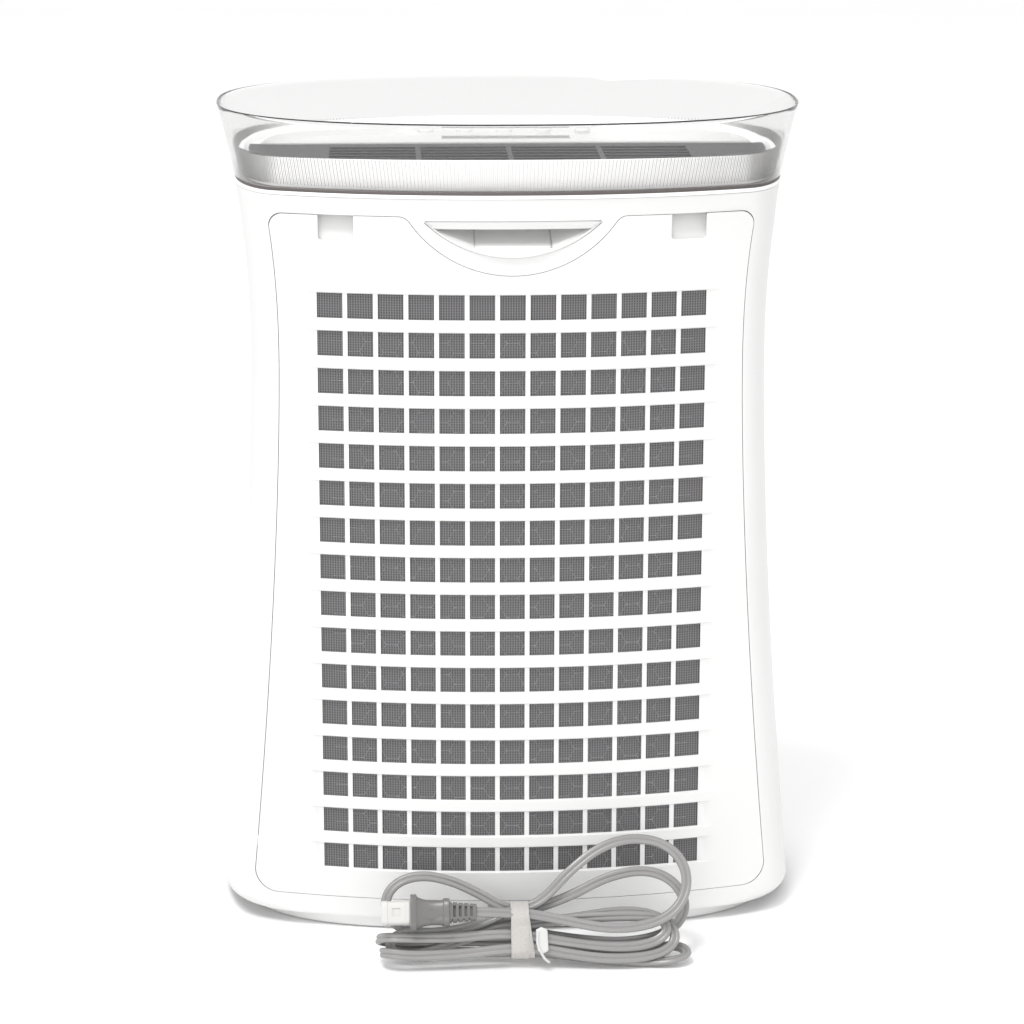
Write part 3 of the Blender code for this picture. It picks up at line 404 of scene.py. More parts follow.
def cord_path():
    lead = ((0.0, -6.0, 0.0), (0.0, 4.0, 0.0), (-1.5, 11.5, 0.8), (-7.0, 17.0, 2.0))
    route = [(GLAND_X + x, GLAND_TIP_Y + y, GLAND_Z + z) for x, y, z in lead]
    route += [hank_point(*p) for p in HANK_TURNS]
    return relax(smooth_route(route, 2.0), 10)


def flat_section():
    """Half width and half height round a two-core flat cord: round edges and a groove each side."""
    core = CORD_THICK / 2
    shift = CORD_WIDTH / 2 - core
    upper = []
    for wide in (3.5, 3.38, 3.05, 2.6, 2.1, 1.6, 1.15, 0.8, 0.5, 0.22, 0.0):
        edge = wide - shift
        tall = math.sqrt(max(core * core - edge * edge, 0.0))
        upper.append((wide, max(tall, CORD_WEB)))
    upper[0] = (CORD_WIDTH / 2, 0.0)
    upper += [(-wide, tall) for wide, tall in reversed(upper[:-1])]
    return upper + [(wide, -tall) for wide, tall in reversed(upper[1:-1])]


def transported(path, first_side):
    """The tangent and a side vector at each point of a path, turned as little as possible."""
    tangents = np.gradient(path, axis=0)
    tangents /= np.linalg.norm(tangents, axis=1)[:, None]
    side = np.array(first_side, float)
    sides = []
    for tangent in tangents:
        side = side - tangent * side.dot(tangent)
        side /= np.linalg.norm(side)
        sides.append(side.copy())
    return tangents, np.array(sides)


def make_cord(material):
    """The cord from the gland through its turns to the plug, and the points that it follows."""
    path = cord_path()
    tangents, sides = transported(path, (1.0, 0.0, 0.0))
    # at the waist the cord's flat faces lie in the hank's plane: turn the frames to it, evenly in between
    marks, turns = [0], [0.0]
    for k in range(9, len(path)):
        if abs(path[k, 0] - HANK_MIDDLE_X) >= 1.1 or abs(tangents[k, 0]) <= 0.8 or 0 < k - marks[-1] < 5:
            continue
        wide = np.cross(HANK_OUT, tangents[k])
        wide /= np.linalg.norm(wide)
        angle = math.atan2(np.dot(np.cross(sides[k], wide), tangents[k]), np.dot(sides[k], wide))
        angle = (angle + math.pi / 2) % math.pi - math.pi / 2
        if len(marks) > 1:
            angle -= math.pi * round((angle - turns[-1]) / math.pi)
        marks.append(k)
        turns.append(angle)
    along = np.arange(len(path))
    twist = np.interp(along, marks, turns) + TWIST_SWAY * np.sin(along * 2.0 * math.pi / TWIST_RUN)
    section = flat_section()
    rings = []
    for k, spot in enumerate(path):
        c, s = math.cos(twist[k]), math.sin(twist[k])
        up = np.cross(tangents[k], sides[k])
        wide = c * sides[k] + s * up
        tall = np.cross(tangents[k], wide)
        rings.append([tuple(spot + a * wide + b * tall) for a, b in section])
    cord = mesh_piece("mains_cord", *loft(rings), material, 60.0)
    return cord, path


CORD_GREY = (0.275, 0.27, 0.268)
cord_finish = finish("cord_vinyl", (scaled(CORD_GREY, 0.97), scaled(CORD_GREY, 1.02)), (30.0, 2.0),
                     (0.19, 0.23), (60.0, 1.0), (1400.0, 2.0), 0.003, ends=(0.1, 0.9))
cord, cord_line = make_cord(cord_finish)
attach(cord, "housing")
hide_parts("cord_lead", "cord_hank", "cord_plug_lead")


# ---- the body's surface

RING_POINTS = 184


def half_width(z):
    z = np.asarray(z, float)
    foot = FOOT_FLARE_WIDTH * (np.clip(WAIST_Z - z, 0.0, None) / 400.0) ** FOOT_POWER
    rim = RIM_FLARE_WIDTH * (np.clip(z - WAIST_Z, 0.0, None) / (RIM_Z - WAIST_Z)) ** RIM_POWER_WIDTH
    return WAIST_HALF_WIDTH + foot + rim


def half_depth(z):
    z = np.asarray(z, float)
    foot = FOOT_FLARE_DEPTH * (np.clip(WAIST_Z - z, 0.0, None) / 400.0) ** FOOT_POWER
    rim = RIM_FLARE_DEPTH * (np.clip(z - WAIST_Z, 0.0, None) / (RIM_Z - WAIST_Z)) ** RIM_POWER_DEPTH
    return WAIST_HALF_DEPTH + foot + rim


def back_y(x, z):
    """The back surface between the rear panel's side seams."""
    return half_depth(z) - BACK_BOW * np.asarray(x, float) ** 2


def corner_width(z):
    """The width of the plan's corner, which grows towards the foot."""
    share = min(max((FOOT_ROUND_Z - z) / (FOOT_ROUND_Z - BODY_BASE_Z), 0.0), 1.0)
    return CORNER_WIDTH + FOOT_ROUND_WIDTH * share * share


def body_quarter(width, depth, corner_run):
    """A quarter of the body's plan, from the side to the back: a corner curve and then a flat arc."""
    seam_x = width - corner_run
    seam_y = depth - BACK_BOW * seam_x * seam_x
    knee = np.array((width, seam_y - 2.0 * BACK_BOW * seam_x * corner_run))
    side, seam = np.array((width, 0.0)), np.array((seam_x, seam_y))
    t = np.linspace(0.0, 1.0, 60)[:, None]
    corner = (1 - t) ** 2 * side + 2 * t * (1 - t) * knee + t * t * seam
    x = np.linspace(seam_x, 0.0, 60)[1:]
    return np.vstack([corner, np.stack([x, depth - BACK_BOW * x * x], axis=1)])


def plan_ring(z, inset=0.0, count=RING_POINTS, at_z=None):
    """The body's outline at a height, moved inward by inset; at_z puts it at another height."""
    width, depth = float(half_width(z)) - inset, float(half_depth(z)) - inset
    quarter = body_quarter(width, depth, corner_width(z))
    quarter_angle = np.arctan2(quarter[:, 1], quarter[:, 0])
    quarter_radius = np.hypot(quarter[:, 0], quarter[:, 1])
    share = min(max((z - RIM_BLEND_Z) / (RIM_Z - RIM_BLEND_Z), 0.0), 1.0)
    turn = 2.0 * math.pi * (np.arange(count) + 0.5) / count
    angle = np.arctan2(depth * np.sin(turn), width * np.cos(turn))
    c, s = np.abs(np.cos(angle)), np.abs(np.sin(angle))
    body = np.interp(np.arctan2(s, c), quarter_angle, quarter_radius)
    oval = ((c / width) ** RIM_EXPONENT + (s / depth) ** RIM_EXPONENT) ** (-1.0 / RIM_EXPONENT)
    radius = (1.0 - share) * body + share * oval
    level = np.full(count, z if at_z is None else at_z)
    return np.stack([radius * np.cos(angle), radius * np.sin(angle), level], axis=1)


def shell_tube(low, high, levels, inner=WALL, edge=0.8):
    """An open-ended shell on the body's surface with softly rounded ends."""
    heights = [(low, edge), (low + 0.25 * edge, 0.35 * edge), (low + edge, 0.0)]
    heights += [(z, 0.0) for z in (12.0, 13.5, 15.0, 17.0, 18.5) if low < z < high]
    heights += [(z, 0.0) for z in np.linspace(max(low + 4 * edge, FOOT_ROUND_Z), high - 4 * edge, levels)]
    heights += [(high - edge, 0.0), (high - 0.25 * edge, 0.35 * edge), (high, edge)]
    rings = [plan_ring(z, inset) for z, inset in heights]
    rings += [plan_ring(z, inner) for z in np.linspace(high, max(low, FOOT_ROUND_Z), max(levels // 3, 3))]
    rings += [plan_ring(z, inner) for z in (17.0, 15.0, 12.5, low) if low <= z < high and low < FOOT_ROUND_Z]
    return loft(rings, endless=True)


# ---- cutting

def shape_by(target, steps, smooth_angle):
    """Cuts, joins or trims a piece by guide shapes, removes the guides, and shades what is left."""
    for operation, shape in steps:
        other = mesh_piece(target.name + "_guide", *shape, None)
        step = target.modifiers.new("cut", "BOOLEAN")
        step.operation, step.object, step.solver = operation, other, "EXACT"
        graph = bpy.context.evaluated_depsgraph_get()
        made = bpy.data.meshes.new_from_object(target.evaluated_get(graph))
        target.modifiers.clear()
        old = target.data
        target.data = made
        bpy.data.meshes.remove(old)
        bpy.data.objects.remove(other, do_unlink=True)
    target.data.shade_smooth()
    target.data.set_sharp_from_angle(angle=math.radians(smooth_angle))


def hold(piece, body, slot, *nodes):
    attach(piece, body)
    if nodes:
        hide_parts(*nodes)
    return piece


# ---- outlines on the back

PANEL_LOW_Z = 24.0
PANEL_TOP_Z = 511.0
PANEL_THICK = 2.0
PANEL_CORNER_LOW = 16.0
PANEL_CORNER_HIGH = 9.0
PANEL_GAP = 0.42
DIP_RADIUS = 84.4
DIP_LOW_Z = 470.2
DIP_FILLET = 9.0
CELL_COLUMNS = 13
CELL_ROWS = 16
CELL_PITCH_X = 20.62
CELL_PITCH_Z = 26.28
CELL_WIDTH = 17.34
CELL_HEIGHT = 17.43
GRILLE_MIDDLE_Z = 251.1
POCKET_X = 119.0
POCKET_WIDTH = 24.0
POCKET_LOW_Z = 493.8
POCKET_FOOT_DEPTH = 2.5
POCKET_DEPTH = 11.0
HANDLE_TOP_Z = 508.5
HANDLE_LOW_Z = 482.6
HANDLE_RADIUS = 85.7


def panel_outline(grow=0.0):
    """The rear panel's outline, (x, z), with the dip in its top edge round the handle."""
    low, high = PANEL_LOW_Z - grow, PANEL_TOP_Z + grow
    foot, head = PANEL_CORNER_LOW, PANEL_CORNER_HIGH
    side = [(float(half_width(z)) - CORNER_WIDTH + grow, z) for z in np.linspace(low + foot, high - head, 48)]
    right = arc((side[0][0] - foot, low + foot), foot, -90, 0, 14)[:-1] + side
    right += arc((side[-1][0] - head, high - head), head, 0, 90, 14)[1:]
    centre_z = DIP_LOW_Z + DIP_RADIUS
    radius, fillet = DIP_RADIUS - grow, DIP_FILLET + grow
    fillet_z = high - fillet
    fillet_x = math.sqrt((radius + fillet) ** 2 - (centre_z - fillet_z) ** 2)
    turn = math.degrees(math.acos((centre_z - fillet_z) / (radius + fillet)))
    dip = arc((fillet_x, fillet_z), fillet, 90, 90 + turn, 12)
    dip += arc((0.0, centre_z), radius, turn - 90, -90, 36)[1:]
    half = right + dip
    return half + [(-x, z) for x, z in reversed(half) if x > 0.01]


def handle_outline(shrink=0.0):
    radius = HANDLE_RADIUS - shrink
    top = HANDLE_TOP_Z - shrink
    centre_z = HANDLE_LOW_Z + HANDLE_RADIUS
    half_turn = math.degrees(math.acos((centre_z - top + 1.5) / radius))
    floor = arc((0.0, centre_z), radius, -90 - half_turn, -90 + half_turn, 48)
    return floor + [(floor[-1][0] - 1.0, top), (floor[0][0] + 1.0, top)]


# ---- shells

INDICATOR_OPENING = ((-30, -140, 458), (30, -60, 464))
SENSOR_OPENING = ((140, -75, 330), (230, -45, 372))
SENSOR_COVER = ((140, -74.7, 330.3), (230, -45.3, 371.7))
SENSOR_SLOTS_Z = [336.2 + 5.0 * k for k in range(7)]
SLOT_HEIGHT = 2.2


def half_space(keep_back):
    if keep_back:
        return block((-260, PARTING_Y + GAP / 2, -20), (260, 200, 620))
    return block((-260, -200, -20), (260, PARTING_Y - GAP / 2, 620))


def round_hole(centre, radius, low, high, axis="Y", steps=40):
    x, y, z = centre
    rim = [(radius * c, radius * s) for c, s in circle(steps)]
    if axis == "Y":
        return loft([[(x + u, y + h, z + v) for u, v in rim] for h in (low, high)])
    return loft([[(x + u, y + v, z + h) for u, v in rim] for h in (low, high)])


def make_shells(white):
    """The rear and front shells with their openings, and the dust sensor's slotted cover."""
    rear = mesh_piece("back_shell", *shell_tube(BODY_BASE_Z, SHELL_TOP_Z, 40, edge=0.3), white)
    shape_by(rear, [
        ("INTERSECT", half_space(True)),
        ("DIFFERENCE", prism(panel_outline(PANEL_GAP), 40, 160)),
        ("DIFFERENCE", prism(handle_outline(), 40, 160)),
        ("DIFFERENCE", round_hole((GLAND_X, 0, GLAND_Z), 5.4, 80, 130)),
    ], 32.0)
    hold(rear, "housing", "white_housing", "rear_housing")

    front = mesh_piece("front_shell", *shell_tube(BODY_BASE_Z, SHELL_TOP_Z, 40, edge=0.3), white)
    shape_by(front, [
        ("INTERSECT", half_space(False)),
        ("DIFFERENCE", block(*INDICATOR_OPENING)),
        ("DIFFERENCE", block(*SENSOR_OPENING)),
    ], 32.0)
    hold(front, "housing", "white_housing", "front_cover")

    cover = mesh_piece("sensor_grille", *shell_tube(322, 380, 8, 2.2, 0.2), white)
    steps = [("INTERSECT", block(*SENSOR_COVER))]
    steps += [("DIFFERENCE", block((140, -70, z), (230, -50, z + SLOT_HEIGHT))) for z in SENSOR_SLOTS_Z]
    shape_by(cover, steps, 32.0)
    hold(cover, "housing", "white_housing", "sensor_cover")


def plinth_ring(grow, z):
    ring = squared(RING_POINTS, 2.0 / PLINTH_EXPONENT) * (PLINTH_HALF_WIDTH + grow, PLINTH_HALF_DEPTH + grow)
    return np.column_stack([ring, np.full(RING_POINTS, z)])


def make_base(white):
    """The oval plinth, with a hole for each foot."""
    low = PLINTH_BASE_Z
    rim_top = BODY_BASE_Z - GAP
    profile = [(-0.4, low), (0.3, low + 0.25), (0.8, low + 0.9), (1.2, low + 2.0), (2.4, rim_top - 0.5),
               (2.2, rim_top), (-3.0, rim_top), (-3.0, low + 3.5)]
    base = mesh_piece("foot_plinth", *loft([plinth_ring(grow, z) for grow, z in profile]), white)
    steps = [("DIFFERENCE", round_hole((x, y, 0.0), FOOT_HOLE_RADIUS, -2.0, 3.0, "Z"))
             for x in (-FOOT_X, FOOT_X) for y in (-FOOT_Y, FOOT_Y)]
    shape_by(base, steps, 32.0)
    hold(base, "housing", "white_base", "base_plinth")


# ---- rear panel

def smooth_step(value):
    value = np.clip(value, 0.0, 1.0)
    return value * value * (3.0 - 2.0 * value)


CELL_XS = [(k - (CELL_COLUMNS - 1) / 2.0) * CELL_PITCH_X for k in range(CELL_COLUMNS)]
CELL_ZS = [GRILLE_MIDDLE_Z + (k - (CELL_ROWS - 1) / 2.0) * CELL_PITCH_Z for k in range(CELL_ROWS)]
RIB_RECESS = 1.2
GROOVE_RUN = 12.0


def panel_relief(x, z):
    """How far the panel's outer face stands back from the body's surface."""
    band = np.zeros_like(z)
    for middle in CELL_ZS:
        band = np.maximum(band, smooth_step((CELL_HEIGHT / 2 + 0.9 - np.abs(z - middle)) / 0.9))
    reach = CELL_XS[-1] + CELL_WIDTH / 2
    fade = smooth_step((reach + GROOVE_RUN - np.abs(x)) / GROOVE_RUN)
    return RIB_RECESS * band * np.where(np.abs(x) <= reach, 1.0, fade)


def grid_lines(middles, half, steps, others):
    """Sorted places of grid lines: at steps out from each cell's edges, and the others."""
    lines = {middle + side * (half + d) for middle in middles for side in (-1, 1) for d in steps}
    lines = sorted(round(v, 3) for v in lines | set(others))
    return [v for k, v in enumerate(lines) if k == 0 or v - lines[k - 1] > 0.05]


def panel_grid():
    """The panel as one closed grid with open cells; it is trimmed to its outline afterwards."""
    reach = CELL_XS[-1] + CELL_WIDTH / 2
    margin = (2.5, 5.0, 8.0, 10.5, 13.0, 20.0, 28.0, 37.0, 46.0, 56.0)
    margin = [side * (reach + d) for d in margin for side in (-1, 1)]
    xs = grid_lines(CELL_XS, CELL_WIDTH / 2, (0.0, 0.35, 0.8), margin)
    margin = (15.0, 20.0, 28.0, 36.0, 466.0, 474.0, 482.0, 490.0, 498.0, 506.0, 514.0, 521.0)
    zs = grid_lines(CELL_ZS, CELL_HEIGHT / 2, (0.0, 0.3, 0.6, 0.9, 1.5, 3.0), margin)
    grid_x, grid_z = np.meshgrid(xs, zs)
    surface = back_y(grid_x, grid_z)
    front = surface - panel_relief(grid_x, grid_z)
    back = surface - PANEL_THICK
    columns = len(xs)
    points = np.concatenate([
        np.stack([grid_x, front, grid_z], axis=-1).reshape(-1, 3),
        np.stack([grid_x, back, grid_z], axis=-1).reshape(-1, 3)])
    behind = columns * len(zs)

    def is_open(column, row):
        x = (xs[column] + xs[column + 1]) / 2
        z = (zs[row] + zs[row + 1]) / 2
        in_x = any(abs(x - m) < CELL_WIDTH / 2 for m in CELL_XS)
        return in_x and any(abs(z - m) < CELL_HEIGHT / 2 for m in CELL_ZS)

    solid = {(c, r) for r in range(len(zs) - 1) for c in range(columns - 1) if not is_open(c, r)}
    faces = []
    for c, r in solid:
        a, b = r * columns + c, r * columns + c + 1
        d, e = a + columns, b + columns
        faces.append((a, b, e, d))
        faces.append((behind + a, behind + d, behind + e, behind + b))
        edges = (((c, r - 1), a, b), ((c, r + 1), e, d), ((c - 1, r), d, a), ((c + 1, r), b, e))
        for neighbour, p, q in edges:
            if neighbour not in solid:
                faces.append((q, p, behind + p, behind + q))
    return points, faces


def pocket_outline(x, grow, top):
    half, low, corner = POCKET_WIDTH / 2 + grow, POCKET_LOW_Z - grow, 2.2 + grow
    outline = arc((x + half - corner, low + corner), corner, -90, 0, 6) + [(x + half, top), (x - half, top)]
    return outline + arc((x - half + corner, low + corner), corner, 180, 270, 6)


def pocket_shape(x, grow, top, wall):
    """The scoop behind a finger pocket: shallow at its foot and full depth at the panel's top edge."""
    rings = [[], []]
    for px, pz in pocket_outline(x, grow, top):
        rise = (pz - POCKET_LOW_Z) / (PANEL_TOP_Z - POCKET_LOW_Z)
        depth = POCKET_FOOT_DEPTH + (POCKET_DEPTH - POCKET_FOOT_DEPTH) * rise + wall
        skin = float(back_y(px, POCKET_LOW_Z)) - 1.2
        rings[0].append((px, 125.0 if wall == 0.0 else skin, pz))
        rings[1].append((px, float(back_y(px, pz)) - max(depth, 0.4), pz))
    return loft(rings)


def make_panel(white):
    """The removable rear panel: the grille trimmed to its outline, with two finger pockets."""
    panel = mesh_piece("grille_panel", *panel_grid(), white)
    steps = [("INTERSECT", prism(panel_outline(), 20, 160))]
    pockets = (("UNION", 1.6, PANEL_TOP_Z - 1.2, 1.6), ("DIFFERENCE", 0.0, PANEL_TOP_Z + 4, 0.0))
    for step, grow, top, wall in pockets:
        steps += [(step, pocket_shape(x, grow, top, wall)) for x in (POCKET_X, -POCKET_X)]
    shape_by(panel, steps, 28.0)
    hold(panel, "rear_panel", "white_panel", "rear_panel")


NET_GAP = 0.35                 # behind the panel
NET_THICK = 0.65


def make_cloth(net):
    """The prefilter's net: a woven sheet on the panel's curve."""
    half_x, half_z = CELL_COLUMNS / 2 * CELL_PITCH_X, CELL_ROWS / 2 * CELL_PITCH_Z
    xs = np.linspace(-half_x, half_x, 53)
    zs = np.linspace(GRILLE_MIDDLE_Z - half_z, GRILLE_MIDDLE_Z + half_z, 65)
    rings = []
    for z in zs:
        y = back_y(xs, z)
        outer, inner = [np.stack([xs, y - PANEL_THICK - back, np.full_like(xs, z)], axis=1)
                        for back in (NET_GAP, NET_GAP + NET_THICK)]
        rings.append(np.vstack([outer, inner[::-1]]))
    cloth = mesh_piece("prefilter_net", *loft(rings), net)
    hold(cloth, "rear_panel", "prefilter_mesh", "prefilter_mesh")


HEX_FLAT = 13.8
HEX_LOW_Z, HEX_HIGH_Z = 44.0, 434.0
HEX_HALF_X = 126.0


def make_honeycomb(strand):
    """Thin moulded honeycomb lines on the net, drawn as flat strips with small nodes."""
    side = HEX_FLAT / math.sqrt(3.0)
    lines = set()
    columns = int(HEX_HALF_X / (1.5 * side)) + 1
    rows = int((HEX_HIGH_Z - HEX_LOW_Z) / HEX_FLAT) + 2
    for c in range(-columns, columns + 1):
        for r in range(rows):
            cx = 1.5 * side * c
            cz = HEX_LOW_Z + HEX_FLAT * (r + 0.5 * (c % 2))
            corners = [(round(cx + side * math.cos(math.radians(60 * k)), 2),
                        round(cz + side * math.sin(math.radians(60 * k)), 2)) for k in range(6)]
            for k in range(6):
                lines.add(tuple(sorted((corners[k], corners[(k + 1) % 6]))))
    points, faces = [], []
    wide, proud, root = 0.20, 0.28, 0.05
    for (x0, z0), (x1, z1) in sorted(lines):
        if max(abs(x0), abs(x1)) > HEX_HALF_X or min(z0, z1) < HEX_LOW_Z or max(z0, z1) > HEX_HIGH_Z:
            continue
        run = np.array((x1 - x0, z1 - z0))
        run /= max(np.linalg.norm(run), 1e-9)
        across_x, across_z = -run[1] * wide, run[0] * wide
        start = len(points)
        for x, z, grow in ((x0, z0, 1.5), ((x0 + x1) / 2, (z0 + z1) / 2, 0.8), (x1, z1, 1.5)):
            y = float(back_y(x, z)) - PANEL_THICK - NET_GAP
            points += [(x + across_x * grow, y - root, z + across_z * grow), (x, y + proud, z),
                       (x - across_x * grow, y - root, z - across_z * grow)]
        for k in (0, 3):
            a = start + k
            faces += [(a, a + 1, a + 4, a + 3), (a + 1, a + 2, a + 5, a + 4), (a + 2, a, a + 3, a + 5)]
        faces += [(start, start + 2, start + 1), (start + 6, start + 7, start + 8)]
    comb = mesh_piece("net_honeycomb", points, faces, strand, 60.0)
    hold(comb, "rear_panel", "prefilter_mesh")


def net_height(tree, across_x, up_z):
    """A fine square weave, its upright threads a little stronger."""
    wobble = math_node(tree, "MULTIPLY", noise(tree, 60.0, 2.0), 1.2)
    waves = [math_node(tree, "SINE", math_node(tree, "ADD", phase, wobble)) for phase in (across_x, up_z)]
    threads = [math_node(tree, "MULTIPLY_ADD", wave, 0.5) for wave in waves]
    return math_node(tree, "MAXIMUM", threads[0], math_node(tree, "MULTIPLY", threads[1], 0.8))


# ---- handle

FACET_X = 26.4
RECESS_HALF = 60.6
LIP_Z = 503.5
CAVITY_DEPTH = 26.5
FACET_END_X = 56.5
LEDGE_Z = 489.8
LEDGE_RISE = 12.6              # of the ledge from the middle facet to FACET_END_X
GROOVE_Z = 505.6
CREST_Z = 506.0


def make_handle(white):
    """The finger recess: a soft lip above, creased facets inside and a curved ledge below."""
    even = np.linspace(-RECESS_HALF, RECESS_HALF, 61)
    xs = sorted(set(np.round(np.concatenate([even, [-FACET_X, FACET_X]]), 3)))
    top = HANDLE_TOP_Z - 0.3
    columns = []
    for x in xs:
        surface = float(back_y(x, 495.0))
        outer = HANDLE_LOW_Z + 0.3 + HANDLE_RADIUS - math.sqrt(HANDLE_RADIUS ** 2 - x * x)
        outer = min(outer, top - 0.8)
        past = max(abs(x) - FACET_X, 0.0) / (FACET_END_X - FACET_X)
        ledge = min(max(LEDGE_Z + LEDGE_RISE * past, outer + 0.4), top - 0.6)
        squeeze = min(1.0, max((RECESS_HALF - abs(x)) / 6.0, 0.02))
        inner = max(1.0 - past, 0.0)
        lip = min(max(LIP_Z, ledge + 0.2), top - 0.4)
        groove = max(GROOVE_Z, lip + 0.05)
        deep = 4.0 + (CAVITY_DEPTH - 4.0) * inner
        back_z = max(min(ledge + 7.5 * inner + 0.15, top - 0.3), ledge + 0.05)
        crest = max(min(CREST_Z, top - 0.25), back_z + 0.02)
        drop = ledge - outer
        profile = [(0.0, top), (0.45, top - 0.25), (0.85, top - 1.1 * squeeze)]
        profile += [(1.0, min(groove + 0.35, top - 0.2)), (2.1, groove), (2.1, groove - 0.3 * squeeze)]
        profile += [(1.3, groove - 0.6 * squeeze), (1.3, lip + 0.35 * squeeze), (1.9, lip), (4.0, lip + 0.02)]
        profile += [(4.2, crest), (deep, crest), (deep, back_z), (5.0, ledge + 0.3 * squeeze), (4.3, ledge)]
        profile += [(3.7, ledge - 0.15 * squeeze), (3.3, ledge - 0.6 * squeeze)]
        profile += [(1.9, outer + 0.55 * drop), (0.5, outer + 0.12 * drop), (0.0, outer)]
        columns.append([(x, surface - depth * (0.25 + 0.75 * squeeze), z) for depth, z in profile])
    cup = mesh_piece("finger_recess", *loft(columns, closed=False, caps=False), white, 11.0)
    step = cup.modifiers.new("wall", "SOLIDIFY")
    step.thickness, step.offset = 1.2 * MM, -1.0
    hold(cup, "housing", "white_housing", "handle_cup")


# ---- deck and collar

SKIRT_INSET = 7.0
SKIRT_FALL = 0.07
SKIRT_LOWEST_Z = 545.2
DECK_TOP_Z = 542.0
DECK_THICK = 2.5
CONTROL_EDGE_Y = -8.0
DISPLAY_WINDOW = ((-45, -38, 530), (45, -24, 560))
OUTLET_HALF_WIDTH = 128.0
OUTLET_BACK_Y = 88.0
BUTTON_RADIUS = 5.5
BUTTON_PITCH = 28.0
BUTTON_Y = -62.0
RIB_COUNT = 400
COLLAR_LOW_Z = 528.8


def outlet_block(low, high):
    half = OUTLET_HALF_WIDTH
    back = [(x, OUTLET_BACK_Y - BACK_BOW * x * x) for x in np.linspace(half, -half, 25)]
    return loft([[(x, y, z) for x, y in [(-half, 0.0), (half, 0.0)] + back] for z in (low, high)])


def make_deck(white, gloss):
    """The deck with its upstand and outlet well, and the glossy control panel on it."""
    flange, floor = SHELL_TOP_Z + GAP, DECK_TOP_Z - DECK_THICK
    skirt = SKIRT_INSET
    profile = [(NECK_Z, 0.15, flange), (NECK_Z, 0.03, flange + 0.3), (NECK_Z, 0.0, NECK_Z - 0.4)]
    profile += [(NECK_Z, 0.3, NECK_Z), (NECK_Z, skirt + 1.0, NECK_Z), (549, skirt + 1.0, 549.9)]
    profile += [(549, skirt + 1.4, 550.5), (549, skirt + 2.6, 550.3), (545, skirt + 3.2, 545.0)]
    profile += [(542, skirt + 4.4, DECK_TOP_Z)]
    rings = [plan_ring(z, inset, at_z=level) for z, inset, level in profile]
    for ring in rings[5:8]:
        fall = SKIRT_FALL * (ring[:, 1].max() - np.abs(ring[:, 1]))
        ring[:, 2] = np.maximum(ring[:, 2] - fall, SKIRT_LOWEST_Z)
    deck = mesh_piece("top_tray", *loft(rings), white)
    hollow = loft([plan_ring(NECK_Z, inset, at_z=z)
                   for inset, z in ((12.0, flange - 8), (12.0, flange), (11.0, floor))])
    steps = [("DIFFERENCE", hollow), ("DIFFERENCE", outlet_block(525.0, 560.0))]
    spots = [((k - 2) * BUTTON_PITCH, BUTTON_Y, 0.0) for k in range(5)]
    holes = [("DIFFERENCE", round_hole(spot, BUTTON_RADIUS + 0.4, 530, 560, "Z")) for spot in spots]
    shape_by(deck, steps + holes, 32.0)
    hold(deck, "housing", "white_deck", "top_deck")

    edges = [(17.3, GAP), (17.0, 0.6), (17.0, 2.4), (17.3, 3.1), (18.2, 3.6)]
    plate = loft([plan_ring(NECK_Z, inset, at_z=DECK_TOP_Z + rise) for inset, rise in edges])
    panel = mesh_piece("control_plate", *plate, gloss)
    steps = [("INTERSECT", block((-260, -200, 500), (260, CONTROL_EDGE_Y, 600))),
             ("DIFFERENCE", block(*DISPLAY_WINDOW))]
    shape_by(panel, steps + holes, 32.0)
    hold(panel, "housing", "white_gloss", "control_panel")


def make_collar(clear, seal_finish):
    """The dark seal and the clear flared collar above it."""
    inner = SKIRT_INSET - 0.6
    profile = [(0.9, 0.05), (0.5, 0.5), (0.5, 1.9), (0.8, 2.2), (inner, 2.2), (inner, 0.05)]
    seal = [plan_ring(NECK_Z, inset, at_z=NECK_Z + rise) for inset, rise in profile]
    ring = mesh_piece("neck_seal", *loft(seal, endless=True), seal_finish)
    hold(ring, "housing", "seal_grey", "collar_seal")

    heights = list(np.linspace(COLLAR_LOW_Z, RIM_Z - 1.0, 22))
    outer = [plan_ring(z, 0.0) for z in heights] + [plan_ring(RIM_Z - 0.3, 0.1), plan_ring(RIM_Z, 0.45)]
    inner = [plan_ring(RIM_Z, 0.95), plan_ring(RIM_Z - 0.3, 1.3)] + [plan_ring(z, 1.4) for z in heights[::-1]]
    collar = mesh_piece("clear_collar", *loft(outer + inner, endless=True), clear, 40.0)
    pass_light(collar)
    hold(collar, "housing", "clear_collar", "air_collar")


def pass_light(piece):
    """Clear plastic this thin lets the light through to what stands behind it."""
    piece.visible_shadow = False
    piece.visible_diffuse = False


def outline_at(z, inset, shares):
    """The body's outline at shares of its length, with the outward direction at each point."""
    dense = plan_ring(z, inset, 4096)
    loop = np.vstack([dense, dense[:1]])
    run = np.concatenate([[0.0], np.cumsum(np.linalg.norm(np.diff(loop[:, :2], axis=0), axis=1))])
    marks = np.array(shares) * run[-1]
    ring = np.stack([np.interp(marks, run, loop[:, i]) for i in range(3)], axis=1)
    ahead = np.stack([np.interp((marks + 0.5) % run[-1], run, loop[:, i]) for i in range(2)], axis=1)
    forward = ahead - ring[:, :2]
    forward /= np.linalg.norm(forward, axis=1)[:, None]
    outward = np.stack([forward[:, 1], -forward[:, 0]], axis=1)
    return ring, outward


